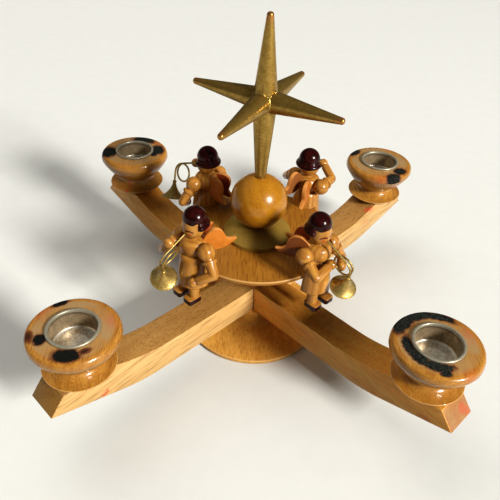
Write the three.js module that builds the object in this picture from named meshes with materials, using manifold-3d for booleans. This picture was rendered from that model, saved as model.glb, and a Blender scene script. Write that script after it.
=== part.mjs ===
// Advent candle holder of turned and sawn wood. Two curved beams, half-lapped
// into a cross on a turned foot, carry four candle cups with metal liners. A
// post at the crossing holds a round plate with four angels seated on its edge,
// and above it a gold disc, a ball and a six-pointed star.
// Millimetres, +Z up. The origin is the centre of the foot's underside. The
// beams lie on the diagonals between X and Y.

import * as THREE from 'three';
import { mergeVertices } from 'three/addons/utils/BufferGeometryUtils.js';
import loadManifold from 'manifold-3d';

const wasm = await loadManifold();
wasm.setup();

// Clearances
const SEAT_GAP = 0.15; // between two pieces that rest on each other
const FIT = 0.3; // round a tenon in its bore, and where one piece is cut to another

// Foot
const FOOT_RADIUS = 41.8;
const FOOT_RIM = 2.4; // height of the edge
const FOOT_RISE = 3.4; // the top climbs this much from the edge to the boss
const FOOT_EASE = 0.5; // rounding of the edge
const FOOT_FLOOR = 3; // wood left under the post
const BOSS_RADIUS = 16.5;
const BOSS_HEIGHT = 16.25; // above the table
const BOSS_COVE = 2;

// Beams
const BEAM_WIDTH = 18.5;
const BEAM_DEPTH = 16.9; // at the crossing
const CUP_BEYOND_PLATE = 74; // from the plate's edge out to each cup's axis
const SEAT_RISE = 7.4; // of the cups' seats over the beam's top at the crossing
const SEAT_FLAT = 12; // level part of the top on the inner side of the cup's axis
const TOP_SWEEP = 36; // length of the curve that climbs to the seat
const UNDER_SWEEP = 28; // the underside starts to climb this far inside the cup's axis
const UNDER_BLEND = 12; // half the length of the bend where it starts
const END_DEPTH = 9.9; // of the beam at its end
const END_OVERHANG = 22.8; // of the lower corner past the cup's axis
const END_BEVEL = 8; // the upper corner stands back this much

// Post
const POST_SHAFT = 27.8; // between the crossing and the plate
const POST_RADIUS = 12.5;
const POST_COLLAR = 3; // height of the collar at each end
const POST_WAIST = 9.5;
const TENON_RADIUS = 6; // through the crossing into the foot
const SPIGOT_RADIUS = 4.5; // up through plate and disc into the ball
const SPIGOT_IN_BALL = 8;

// Plate, gold disc and ball
const PLATE_MARGIN = 25.2; // from the gold disc's edge to the plate's edge
const PLATE_THICKNESS = 3.6;
const PLATE_EDGE = 1.9; // thickness left at the edge by the bevel below
const PLATE_BEVEL = 5; // width of that bevel
const PLATE_EASE = 0.6; // rounding of the upper edge
const DISC_RADIUS = 18.8;
const DISC_EDGE = 2;
const DISC_HEIGHT = 6.1;
const DISC_SEAT_RADIUS = 7; // level top under the ball
const BALL_RADIUS = 15.6;
const BALL_FLAT = 0.45; // turned off at the top and the bottom

// Star
const STAR_STEM = 43.1; // from the ball's top to the centre of the star
const STAR_TOP = 41.5; // from the centre to the upper tip
const STAR_RAY = 41.9; // from the centre to a side tip
const STAR_WAIST = 6.3; // greatest radius of the spindle
const STEM_RADIUS = 2.9; // of the spindle on the ball
const RAY_ROOT = 6.1;
const TIP_RADIUS = 1.7;
const STAR_TURN = 60.75; // degrees from X to the first ray
const RAY_DROOPS = [0, 0, 3.6, 0]; // degrees by which each ray hangs, as glued
const STAR_TENON_RADIUS = 2.4;
const STAR_TENON = 9;

// Candle cups and liners, for candles of 22 mm
const CUP_FOOT_RADIUS = 18.1;
const CUP_FOOT_EDGE = 4.4; // height of the foot's edge above the seat
const CUP_FOOT_UNDERCUT = 4.9; // from that edge in to where the foot stands
const CUP_FOOT_SLOPE = 1.2; // climb of the foot's top before it curves up to the neck
const CUP_NECK = 10.8;
const CUP_NECK_HEIGHT = 9;
const CUP_BELLY_RADIUS = 18.5; // the bowl's profile is drawn out towards this place
const CUP_BELLY_HEIGHT = 15;
const CUP_RADIUS = 22;
const CUP_WIDEST = 22.8; // height of the widest place above the seat
const CUP_HEIGHT = 26.9;
const CUP_EASE = 2.4; // rounding from the widest place to the top
const CUP_CROWN = 0.3; // the top falls this much from the bore outwards
const CUP_TENON_RADIUS = 4;
const CUP_TENON = 7;
const LINER_BORE = 11; // inner radius, a 22 mm candle
const LINER_WALL = 0.6;
const LINER_DEPTH = 11;
const LINER_LEDGE = 1; // the flange stands out from the wall by this much
const LINER_LIP = 1.1; // thickness of the rolled flange
const LINER_CORNER = 1.4; // bevel at the floor

// Angels: heights are measured from the plate's top, x points forward
const ANGEL_OUT = 0.5; // from the plate's edge out to a body's axis
const HEM_DROP = 8.6; // the front of the skirt hangs this far below the plate's top
const HEM_RADIUS = 9.1;
const SKIRT_TOP = 8.9;
const SKIRT_TOP_RADIUS = 7.6;
const SKIRT_EASE = 3.2; // rounding of the skirt's shoulder
const WAIST_RADIUS = 5.2;
const WAIST_HEIGHT = 9.9;
const CHEST_RADIUS = 7.2;
const CHEST_HEIGHT = 14.2;
const CHEST_TOP = 19.1;
const NECK_RADIUS = 2.6;
const NECK_HEIGHT = 19.9;
const HEAD_RADIUS = 5.7;
const HEAD_FLAT = 0.6; // turned off below, where the head sits on the neck
const MOUTH_DROP = 16.8; // degrees of the mouth below the middle of the face
const FOREHEAD_RADIUS = 5;
const FOREHEAD_HEIGHT = 5; // above the middle of the face
const CROWN_HEIGHT = 8;
const HAIR_THICKNESS = 0.9; // the dome of hair is this much larger than the head
const HAIR_LIFT = 5.4; // of the dome's centre over the head's centre
const HAIR_BACK = 1; // of the dome's centre behind the head's axis
const FRINGE_DROP = 0.8; // the dome ends this far below its centre
const CURL_RADIUS = 2.1; // of the rolled hair round the back
const CURL_SINK = 0.6; // the roll's centre line lies this far inside the dome's radius
const CURL_DROP = 2.4; // of the roll below the dome's centre
const CURL_BACK = 1; // of the roll's ring behind the head's axis
const CURL_ENDS = 78; // degrees from the front to each end of the roll
const LEG_SPREAD = 4.5; // of each leg from the middle
const LEG_FORWARD = 4.2;
const LEG_RADIUS = 3.1;
const LEG_LENGTH = 9.8;
const ANKLE_RADIUS = 2.7;
const SHOE_LENGTH = 8.4;
const SHOE_WIDTH = 6.4;
const SHOE_HEIGHT = 3.3;
const SHOE_CORNER = 1.5; // of the shoe, cut off at each upright edge
const SHOE_FORWARD = 1.2; // of the shoe's middle before the leg's axis
const SHOULDER_HEIGHT = 15;
const SLEEVE_RADIUS = 4.7;
const SLEEVE_FLAT = 2.3; // taken off the ball sleeve where it is glued to the chest
const CUFF_RADIUS = 3.7;
const CUFF_WIDTH = 1.5;
const ARM_RADIUS = 2.9;
const ELBOW_RADIUS = 2.5;
const HAND_RADIUS = 2.7;
const UPPER_ARM = 12.5;
const FOREARM = 12.5;
const LAP_ANGLE = 48; // degrees from the front to a hand on the skirt
const LAP_DROP = 1.2; // of that hand below the plate's top
const WING_THICKNESS = 2.4;
const WING_APART = 2.5; // of a wing's plane from the body's axis, to its own side
const WING_ROOT_HEIGHT = 18; // upper end of the wing's root
const WING_LOBE = 10.9; // from the body's axis to the middle of the upper lobe
const WING_LOBE_HALF = 3;
const WING_TOP = 23.3;
const WING_HOLLOW = 16; // from the axis to the hollow between lobe and tip
const WING_HOLLOW_HEIGHT = 17.6;
const WING_SPAN = 22; // from the axis to the tip
const WING_TIP_HEIGHT = 14.4;
const WING_BOTTOM = 10.4;

// Horn: a lead pipe, one loop and a bell
const WIRE_RADIUS = 0.55;
const HORN_LEAD = 13.8;
const HORN_LEAD_SLOPE = 13; // degrees below the mouthpiece in the horn's own plane
const HORN_LOOP = 5.4;
const HORN_PITCH = 1.9; // sideways step of one turn
const HORN_TAIL = 6.4;
const BELL_LENGTH = 10;
const BELL_RADIUS = 7.2;
const BELL_WALL = 0.6;
const BELL_THROAT = 2.6; // solid length at the narrow end
const BELL_THROAT_RADIUS = 0.9;
const BELL_FLARE = 6; // from the narrow end to where the flare opens
const BELL_FLARE_RADIUS = 3.7;

// The four angels, counterclockwise from the diagonal of +X and +Y. They were
// glued by hand, so each has its own seat: degrees round the plate off the
// diagonal, and a step outwards. Then the horn's yaw, pitch and roll in
// degrees. On each side, the hand has a share of the horn's lead pipe or of its
// loop, or else the lap, the elbow has degrees below straight out, and the wing
// has degrees from straight back and down.
const POSES = [
  {
    seat: { turn: 3.5, out: 0.5 },
    horn: { yaw: 14, pitch: 8.5, roll: 21 },
    left: { hand: { loop: 0.45 }, elbow: 30, wing: { sweep: -1, droop: -4 } },
    right: { hand: { lead: 0.88 }, elbow: 24, wing: { sweep: 18, droop: 30 } },
  },
  {
    seat: { turn: 0, out: -0.9 },
    horn: { yaw: 3, pitch: 11, roll: 18 },
    left: { hand: { lap: true }, elbow: 40, wing: { sweep: -8, droop: 30 } },
    right: { hand: { lead: 0.45 }, elbow: 30, wing: { sweep: 27, droop: 34 } },
  },
  {
    seat: { turn: -0.5, out: 1.7 },
    horn: { yaw: 10, pitch: 17, roll: -25 },
    left: { hand: { lap: true }, elbow: 45, wing: { sweep: 24, droop: -6 } },
    right: { hand: { lead: 0.62 }, elbow: 50, wing: { sweep: 18, droop: 0 } },
  },
  {
    seat: { turn: -2.3, out: 0.5 },
    horn: { yaw: 2, pitch: 18.5, roll: 8 },
    left: { hand: { loop: 0.42 }, elbow: 45, wing: { sweep: -9, droop: 4 } },
    right: { hand: { loop: 0.52 }, elbow: 4, wing: { sweep: 34, droop: 3 } },
  },
];

// Facets
const ARC_STEPS = 2; // per curve of a turned profile
const BALL_STEPS = 6; // per half of the large ball's profile
const WIDE_SIDES = 30; // of the foot, the plate and the gold disc
const CUP_SIDES = 18; // of the cups and the large ball
const LINER_SIDES = 16;
const POST_SIDES = 12;
const RAY_SIDES = 12;
const BODY_SIDES = 12;
const HEAD_SIDES = 10; // of heads, hair and bells
const PEG_SIDES = 12; // of bores
const LIMB_SIDES = 8; // of sleeves and legs
const WIRE_SIDES = 6; // of the horns, the forearms and the rolled hair
const CURVE_SEGMENTS = 4; // of a sawn outline
const CURL_STEPS = 8; // along the rolled hair
const HORN_STEPS = 22; // along a horn's centre line
const WELD = 1e-4; // vertices closer than this are one
const CUBIC_PULL = 4 / 3; // a cubic curve goes three quarters of the way to its control points

const honey = finish(0xc58338, 0.35);
const beech = finish(0xcf9650, 0.55);
const skin = finish(0xd29a58, 0.45);
const darkPaint = finish(0x2a0d0e, 0.3);
const goldPaint = finish(0x85713a, 0.5, 0.6);
const brass = finish(0xa8913f, 0.35, 1);
const tin = finish(0x8d8f8a, 0.4, 1);

function finish(color, roughness, metalness = 0) {
  return new THREE.MeshStandardMaterial({ color, roughness, metalness });
}

function piece(name, geometry, material) {
  const mesh = new THREE.Mesh(geometry, material);
  mesh.name = name;
  return mesh;
}

function radians(degrees) {
  return THREE.MathUtils.degToRad(degrees);
}

// A closed geometry with shared vertices and no collapsed triangles.
function welded(geometry) {
  const bare = geometry.clone();
  bare.deleteAttribute('normal');
  bare.deleteAttribute('uv');
  const merged = mergeVertices(bare, WELD);
  const corners = merged.getIndex().array;
  const kept = [];
  for (let i = 0; i < corners.length; i += 3) {
    const [a, b, c] = corners.slice(i, i + 3);
    if (a !== b && b !== c && c !== a) kept.push(a, b, c);
  }
  merged.setIndex(kept);
  return merged;
}

function solid(geometry) {
  const shape = welded(geometry);
  const vertProperties = new Float32Array(shape.attributes.position.array);
  const triVerts = new Uint32Array(shape.getIndex().array);
  return new wasm.Manifold(new wasm.Mesh({ numProp: 3, vertProperties, triVerts }));
}

function surface(body) {
  const mesh = body.getMesh();
  const geometry = new THREE.BufferGeometry();
  geometry.setAttribute('position', new THREE.BufferAttribute(mesh.vertProperties, 3));
  geometry.setIndex(new THREE.BufferAttribute(mesh.triVerts, 1));
  geometry.computeVertexNormals();
  return geometry;
}

function joined(first, ...others) {
  return others.reduce((body, other) => body.add(solid(other)), solid(first));
}

function without(body, ...tools) {
  return tools.reduce((rest, tool) => rest.subtract(solid(tool)), body);
}

// Revolves a profile of radius and height about Z. The profile starts and ends
// on the axis, or closes on itself, and runs outwards, up and back.
function turned(profile, sides, steps = ARC_STEPS) {
  const points = profile.getPoints(steps);
  return welded(new THREE.LatheGeometry(points, sides).rotateX(Math.PI / 2));
}

function rod(radius, low, high, sides) {
  const height = high - low;
  const geometry = new THREE.CylinderGeometry(radius, radius, height, sides);
  return geometry.rotateX(Math.PI / 2).translate(0, 0, low + height / 2);
}

// A board sawn to an outline in the XZ plane, half its thickness on each side.
function board(outline, thickness) {
  const options = { depth: thickness, bevelEnabled: false, curveSegments: CURVE_SEGMENTS };
  const geometry = new THREE.ExtrudeGeometry(outline, options);
  return geometry.translate(0, 0, -thickness / 2).rotateX(Math.PI / 2);
}

// A round bar along a curve.
function bar(curve, radius, steps) {
  const section = new THREE.Shape().absarc(0, 0, radius, 0, 2 * Math.PI);
  const options = { steps, extrudePath: curve, curveSegments: WIRE_SIDES / 2 };
  return new THREE.ExtrudeGeometry(section, options);
}

// Lays a form that is drawn up from the origin along the line from start to end.
function laid(geometry, start, end) {
  const direction = end.clone().sub(start).normalize();
  const upwards = new THREE.Vector3(0, 0, 1);
  const turn = new THREE.Quaternion().setFromUnitVectors(upwards, direction);
  return geometry.applyQuaternion(turn).translate(start.x, start.y, start.z);
}

// Sizes and heights that several pieces share
const beamUnderside = BOSS_HEIGHT + SEAT_GAP;
const beamTop = beamUnderside + BEAM_DEPTH;
const seatHeight = beamTop + SEAT_RISE;
const plateRadius = DISC_RADIUS + PLATE_MARGIN;
const cupReach = plateRadius + CUP_BEYOND_PLATE;
const plateUnderside = beamTop + POST_SHAFT + 2 * SEAT_GAP;
const plateTop = plateUnderside + PLATE_THICKNESS;
const discTop = plateTop + SEAT_GAP + DISC_HEIGHT;
const ballFlat = BALL_RADIUS - BALL_FLAT; // from the ball's centre to its flats
const ballHeight = discTop + SEAT_GAP + ballFlat;
const linerLedge = CUP_HEIGHT + SEAT_GAP; // underside of the flange above the cup's seat
const linerOuter = LINER_BORE + LINER_WALL;
const linerFloor = linerLedge + LINER_LIP - LINER_DEPTH;
const headHeight = NECK_HEIGHT + SEAT_GAP + HEAD_RADIUS - HEAD_FLAT;
const shoulderSpread = CHEST_RADIUS + SEAT_GAP + SLEEVE_RADIUS - SLEEVE_FLAT;

// Foot: a thin round disc, rising gently to a boss with a bore for the post.
function baseDisc() {
  const bossFoot = FOOT_RIM + FOOT_RISE;
  const bore = TENON_RADIUS + FIT;
  const profile = new THREE.Path()
    .moveTo(0, 0)
    .lineTo(FOOT_RADIUS - FOOT_EASE, 0)
    .lineTo(FOOT_RADIUS, FOOT_EASE)
    .lineTo(FOOT_RADIUS, FOOT_RIM - FOOT_EASE)
    .lineTo(FOOT_RADIUS - FOOT_EASE, FOOT_RIM)
    .lineTo(BOSS_RADIUS + BOSS_COVE, bossFoot)
    .quadraticCurveTo(BOSS_RADIUS, bossFoot, BOSS_RADIUS, bossFoot + BOSS_COVE)
    .lineTo(BOSS_RADIUS, BOSS_HEIGHT)
    .lineTo(bore, BOSS_HEIGHT)
    .lineTo(bore, FOOT_FLOOR)
    .lineTo(0, FOOT_FLOOR);
  return turned(profile, WIDE_SIDES);
}

// Beam: a sawn board whose ends climb to the cups' seats and finish in a bevel.
// The notch for the crossing opens up or down.
function crossBeam(notchOpensUp) {
  const end = cupReach + END_OVERHANG;
  const endUnder = seatHeight - END_DEPTH;
  const seatStart = cupReach - SEAT_FLAT;
  const sweepStart = seatStart - TOP_SWEEP;
  const sweepMiddle = seatStart - TOP_SWEEP / 2;
  const bend = cupReach - UNDER_SWEEP;
  const bendRise = UNDER_BLEND * (endUnder - beamUnderside) / (end - bend);
  const notch = BEAM_WIDTH / 2 + FIT;
  const lap = beamUnderside + BEAM_DEPTH / 2;
  const outline = new THREE.Shape().moveTo(-end, endUnder);
  outline.lineTo(-bend - UNDER_BLEND, beamUnderside + bendRise);
  outline.quadraticCurveTo(-bend, beamUnderside, -bend + UNDER_BLEND, beamUnderside);
  if (!notchOpensUp) {
    outline.lineTo(-notch, beamUnderside).lineTo(-notch, lap + SEAT_GAP / 2);
    outline.lineTo(notch, lap + SEAT_GAP / 2).lineTo(notch, beamUnderside);
  }
  outline.lineTo(bend - UNDER_BLEND, beamUnderside);
  outline.quadraticCurveTo(bend, beamUnderside, bend + UNDER_BLEND, beamUnderside + bendRise);
  outline.lineTo(end, endUnder).lineTo(end - END_BEVEL, seatHeight);
  outline.lineTo(seatStart, seatHeight);
  outline.quadraticCurveTo(sweepMiddle, beamTop, sweepStart, beamTop);
  if (notchOpensUp) {
    outline.lineTo(notch, beamTop).lineTo(notch, lap - SEAT_GAP / 2);
    outline.lineTo(-notch, lap - SEAT_GAP / 2).lineTo(-notch, beamTop);
  }
  outline.lineTo(-sweepStart, beamTop);
  outline.quadraticCurveTo(-sweepMiddle, beamTop, -seatStart, seatHeight);
  outline.lineTo(END_BEVEL - end, seatHeight).closePath();
  const boreFloor = seatHeight - CUP_TENON - FIT;
  const cupBore = rod(CUP_TENON_RADIUS + FIT, boreFloor, seatHeight + FIT, PEG_SIDES);
  return surface(without(
    solid(board(outline, BEAM_WIDTH)),
    rod(TENON_RADIUS + FIT, beamUnderside - FIT, beamTop + FIT, PEG_SIDES),
    cupBore.clone().translate(cupReach, 0, 0),
    cupBore.clone().translate(-cupReach, 0, 0),
  ));
}

// Post: tenon below, a waisted shaft between crossing and plate, and a spigot.
function centrePost() {
  const low = beamTop + SEAT_GAP;
  const high = low + POST_SHAFT;
  const middle = low + POST_SHAFT / 2;
  const spigotTop = ballHeight - ballFlat + SPIGOT_IN_BALL;
  const profile = new THREE.Path()
    .moveTo(0, FOOT_FLOOR + FIT)
    .lineTo(TENON_RADIUS, FOOT_FLOOR + FIT)
    .lineTo(TENON_RADIUS, low)
    .lineTo(POST_RADIUS, low)
    .lineTo(POST_RADIUS, low + POST_COLLAR)
    .quadraticCurveTo(POST_WAIST, low + POST_COLLAR, POST_WAIST, middle)
    .quadraticCurveTo(POST_WAIST, high - POST_COLLAR, POST_RADIUS, high - POST_COLLAR)
    .lineTo(POST_RADIUS, high)
    .lineTo(SPIGOT_RADIUS, high)
    .lineTo(SPIGOT_RADIUS, spigotTop)
    .lineTo(0, spigotTop);
  return turned(profile, POST_SIDES);
}

function topPlate() {
  const bore = SPIGOT_RADIUS + FIT;
  const profile = new THREE.Path()
    .moveTo(bore, plateUnderside)
    .lineTo(plateRadius - PLATE_BEVEL, plateUnderside)
    .lineTo(plateRadius, plateTop - PLATE_EDGE)
    .lineTo(plateRadius, plateTop - PLATE_EASE)
    .lineTo(plateRadius - PLATE_EASE, plateTop)
    .lineTo(bore, plateTop)
    .lineTo(bore, plateUnderside);
  return turned(profile, WIDE_SIDES);
}

function goldDisc() {
  const low = plateTop + SEAT_GAP;
  const bore = SPIGOT_RADIUS + FIT;
  const profile = new THREE.Path()
    .moveTo(bore, low)
    .lineTo(DISC_RADIUS, low)
    .lineTo(DISC_RADIUS, low + DISC_EDGE)
    .quadraticCurveTo((DISC_RADIUS + DISC_SEAT_RADIUS) / 2, discTop, DISC_SEAT_RADIUS, discTop)
    .lineTo(bore, discTop)
    .lineTo(bore, low);
  return turned(profile, WIDE_SIDES);
}

// Ball: a sphere with a small flat above and below, bored for post and star.
function woodBall() {
  const slope = Math.asin(ballFlat / BALL_RADIUS);
  const profile = new THREE.Path();
  profile.moveTo(0, -ballFlat);
  profile.lineTo(BALL_RADIUS * Math.cos(slope), -ballFlat);
  profile.absarc(0, 0, BALL_RADIUS, -slope, slope, false);
  profile.lineTo(0, ballFlat);
  const whole = turned(profile, CUP_SIDES, BALL_STEPS);
  const postBoreTop = SPIGOT_IN_BALL + FIT - ballFlat;
  const postBore = rod(SPIGOT_RADIUS + FIT, -BALL_RADIUS, postBoreTop, PEG_SIDES);
  const starBoreFloor = ballFlat - STAR_TENON - FIT;
  const starBore = rod(STAR_TENON_RADIUS + FIT, starBoreFloor, BALL_RADIUS, PEG_SIDES);
  return surface(without(solid(whole), postBore, starBore)).translate(0, 0, ballHeight);
}

// Spindle of the star: tenon, stem and upper spike turned in one. Its origin is
// the centre of the star. A clearance makes the larger form that rays are cut to.
function starSpindle(clearance = 0) {
  const shoulder = -STAR_STEM + SEAT_GAP - clearance;
  const tenonEnd = -STAR_STEM - STAR_TENON;
  const profile = new THREE.Path()
    .moveTo(0, tenonEnd)
    .lineTo(STAR_TENON_RADIUS, tenonEnd)
    .lineTo(STAR_TENON_RADIUS, shoulder)
    .lineTo(STEM_RADIUS + clearance, shoulder)
    .lineTo(STAR_WAIST + clearance, 0)
    .lineTo(TIP_RADIUS + clearance, STAR_TOP - TIP_RADIUS)
    .quadraticCurveTo(TIP_RADIUS, STAR_TOP, 0, STAR_TOP + clearance);
  return turned(profile, RAY_SIDES);
}

// A side ray, drawn along Z, laid along X, mitred against its neighbours and
// cut to the spindle.
function starRay(droop) {
  const profile = new THREE.Path()
    .moveTo(0, 0)
    .lineTo(RAY_ROOT, 0)
    .lineTo(TIP_RADIUS, STAR_RAY - TIP_RADIUS)
    .quadraticCurveTo(TIP_RADIUS, STAR_RAY, 0, STAR_RAY);
  const cone = turned(profile, RAY_SIDES).rotateY(Math.PI / 2 + radians(droop));
  const mitre = new THREE.Shape()
    .moveTo(FIT, 0)
    .lineTo(FIT + STAR_RAY, -STAR_RAY)
    .lineTo(FIT + STAR_RAY, STAR_RAY);
  const wedge = new THREE.ExtrudeGeometry(mitre, { depth: 4 * RAY_ROOT, bevelEnabled: false });
  wedge.translate(0, 0, -2 * RAY_ROOT);
  return surface(without(solid(cone).intersect(solid(wedge)), starSpindle(FIT)));
}

function star() {
  const group = new THREE.Group();
  group.add(piece('star_spindle', starSpindle(), goldPaint));
  RAY_DROOPS.forEach((droop, i) => {
    const ray = piece(`star_ray_${i + 1}`, starRay(droop), goldPaint);
    ray.rotation.z = i * Math.PI / 2;
    group.add(ray);
  });
  group.position.z = ballHeight + ballFlat + STAR_STEM;
  group.rotation.z = radians(STAR_TURN);
  return group;
}

// Candle cup: a foot with an undercut edge, a narrow neck and a wide conical bowl
// with a bore. Heights are above the beam's seat.
function candleCup() {
  const foot = SEAT_GAP;
  const slope = CUP_FOOT_EDGE + CUP_FOOT_SLOPE;
  const bore = linerOuter + FIT;
  const boreFloor = linerFloor - LINER_WALL - FIT;
  const rimHeight = CUP_HEIGHT - CUP_CROWN;
  const profile = new THREE.Path()
    .moveTo(0, -CUP_TENON)
    .lineTo(CUP_TENON_RADIUS, -CUP_TENON)
    .lineTo(CUP_TENON_RADIUS, foot)
    .lineTo(CUP_FOOT_RADIUS - CUP_FOOT_UNDERCUT, foot)
    .lineTo(CUP_FOOT_RADIUS, CUP_FOOT_EDGE)
    .quadraticCurveTo(CUP_NECK, slope, CUP_NECK, CUP_NECK_HEIGHT)
    .quadraticCurveTo(CUP_BELLY_RADIUS, CUP_BELLY_HEIGHT, CUP_RADIUS, CUP_WIDEST)
    .quadraticCurveTo(CUP_RADIUS, rimHeight, CUP_RADIUS - CUP_EASE, rimHeight)
    .lineTo(bore, CUP_HEIGHT)
    .lineTo(bore, boreFloor)
    .lineTo(0, boreFloor);
  return turned(profile, CUP_SIDES);
}

// Liner: a pressed tin pan with a rolled flange that hangs on the cup's top.
function candleLiner() {
  const top = linerLedge + LINER_LIP;
  const under = linerFloor - LINER_WALL;
  const flange = linerOuter + LINER_LEDGE;
  const profile = new THREE.Path()
    .moveTo(0, under)
    .lineTo(linerOuter - LINER_CORNER, under)
    .lineTo(linerOuter, under + LINER_CORNER)
    .lineTo(linerOuter, linerLedge)
    .lineTo(flange, linerLedge)
    .quadraticCurveTo(flange, top, LINER_BORE + LINER_WALL / 2, top)
    .lineTo(LINER_BORE, top - LINER_WALL)
    .lineTo(LINER_BORE, linerFloor + LINER_CORNER)
    .lineTo(LINER_BORE - LINER_CORNER, linerFloor)
    .lineTo(0, linerFloor);
  return turned(profile, LINER_SIDES);
}

// Angel's body: skirt, waist, chest and neck turned in one. A clearance makes
// the larger form that wings are cut to.
function wholeBody(clearance = 0) {
  const hem = HEM_RADIUS + clearance;
  const skirt = SKIRT_TOP_RADIUS + clearance;
  const waist = WAIST_RADIUS + clearance;
  const chest = CHEST_RADIUS + clearance;
  const neck = NECK_RADIUS + clearance;
  const profile = new THREE.Path()
    .moveTo(0, -HEM_DROP)
    .lineTo(hem, -HEM_DROP)
    .lineTo(skirt, SKIRT_TOP - SKIRT_EASE)
    .quadraticCurveTo(skirt, SKIRT_TOP, waist, WAIST_HEIGHT)
    .quadraticCurveTo(chest, (WAIST_HEIGHT + CHEST_HEIGHT) / 2, chest, CHEST_HEIGHT)
    .quadraticCurveTo(chest, CHEST_TOP, neck, CHEST_TOP)
    .lineTo(neck, NECK_HEIGHT)
    .lineTo(0, NECK_HEIGHT);
  return turned(profile, BODY_SIDES);
}

// The step in the back of the skirt lets the angel sit on the plate's edge.
function angelBody(reach) {
  const stepFront = plateRadius + FIT - reach;
  const size = 2 * (HEM_RADIUS + HEM_DROP);
  const step = new THREE.BoxGeometry(size, size, size);
  step.translate(stepFront - size / 2, 0, SEAT_GAP - size / 2);
  return surface(without(solid(wholeBody()), step));
}

// Head: round below, with a high tapering forehead. Head and hair have the
// middle of the face as their origin. A clearance makes the larger form that
// the hair is hollowed with.
function angelHead(clearance = 0) {
  const radius = HEAD_RADIUS + clearance;
  const forehead = FOREHEAD_RADIUS + clearance;
  const crown = CROWN_HEIGHT + clearance;
  const flat = radius - HEAD_FLAT;
  const slope = Math.asin(flat / radius);
  const profile = new THREE.Path();
  profile.moveTo(0, -flat);
  profile.lineTo(radius * Math.cos(slope), -flat);
  profile.absarc(0, 0, radius, -slope, 0, false);
  profile.lineTo(forehead, FOREHEAD_HEIGHT);
  profile.lineTo(0, crown);
  return turned(profile, HEAD_SIDES);
}

// Hair: a dome over the crown and forehead, and a thick roll round the back
// from one temple to the other.
function angelHair() {
  const radius = HEAD_RADIUS + HAIR_THICKNESS;
  const slope = Math.asin(FRINGE_DROP / radius);
  const profile = new THREE.Path();
  profile.moveTo(0, -FRINGE_DROP);
  profile.lineTo(radius * Math.cos(slope), -FRINGE_DROP);
  profile.absarc(0, 0, radius, -slope, Math.PI / 2, false);
  const dome = turned(profile, HEAD_SIDES).translate(-HAIR_BACK, 0, HAIR_LIFT);
  const ring = radius - CURL_SINK;
  const ends = radians(CURL_ENDS);
  const arc = new THREE.EllipseCurve(-CURL_BACK, 0, ring, ring, ends, 2 * Math.PI - ends);
  const centreLine = new THREE.CatmullRomCurve3(
    arc.getPoints(CURL_STEPS).map((p) => new THREE.Vector3(p.x, p.y, HAIR_LIFT - CURL_DROP)),
  );
  const roll = bar(centreLine, CURL_RADIUS, CURL_STEPS);
  return surface(without(joined(dome, roll), angelHead(FIT)));
}

// Leg: a tapered peg that hangs from the skirt, glued into a block for a shoe
// with its upright edges cut off.
function angelLeg() {
  const top = -SEAT_GAP;
  const ankle = SHOE_HEIGHT / 2 - LEG_LENGTH;
  const profile = new THREE.Path()
    .moveTo(0, ankle)
    .lineTo(ANKLE_RADIUS, ankle)
    .lineTo(LEG_RADIUS, top)
    .lineTo(0, top);
  const front = SHOE_LENGTH / 2;
  const side = SHOE_WIDTH / 2;
  const sole = new THREE.Shape()
    .moveTo(front, SHOE_CORNER - side)
    .lineTo(front, side - SHOE_CORNER)
    .lineTo(front - SHOE_CORNER, side)
    .lineTo(SHOE_CORNER - front, side)
    .lineTo(-front, side - SHOE_CORNER)
    .lineTo(-front, SHOE_CORNER - side)
    .lineTo(SHOE_CORNER - front, -side)
    .lineTo(front - SHOE_CORNER, -side);
  const shoe = new THREE.ExtrudeGeometry(sole, { depth: SHOE_HEIGHT, bevelEnabled: false });
  shoe.translate(SHOE_FORWARD, 0, -LEG_LENGTH);
  return surface(joined(turned(profile, LIMB_SIDES), shoe));
}

// Wing: a comma-shaped leaf sawn from thin board, standing upright beside the
// body's axis. It droops about its root and is cut to the body.
function angelWing(droop, side) {
  const root = CHEST_RADIUS / 2;
  const crown = WING_ROOT_HEIGHT + CUBIC_PULL * (WING_TOP - WING_ROOT_HEIGHT);
  const belly = CHEST_HEIGHT + CUBIC_PULL * (WING_BOTTOM - CHEST_HEIGHT);
  const lobeStart = WING_LOBE - WING_LOBE_HALF;
  const lobeEnd = WING_LOBE + WING_LOBE_HALF;
  const outline = new THREE.Shape()
    .moveTo(root, CHEST_HEIGHT)
    .lineTo(root, WING_ROOT_HEIGHT)
    .bezierCurveTo(lobeStart, crown, lobeEnd, crown, WING_HOLLOW, WING_HOLLOW_HEIGHT)
    .quadraticCurveTo(WING_HOLLOW, WING_TIP_HEIGHT, WING_SPAN, WING_TIP_HEIGHT)
    .bezierCurveTo(WING_HOLLOW, belly, lobeStart, belly, root, CHEST_HEIGHT);
  const leaf = board(outline, WING_THICKNESS).translate(-root, 0, -WING_ROOT_HEIGHT);
  leaf.rotateY(radians(droop)).translate(root, -side * WING_APART, WING_ROOT_HEIGHT);
  return surface(without(solid(leaf), wholeBody(FIT)));
}

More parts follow.
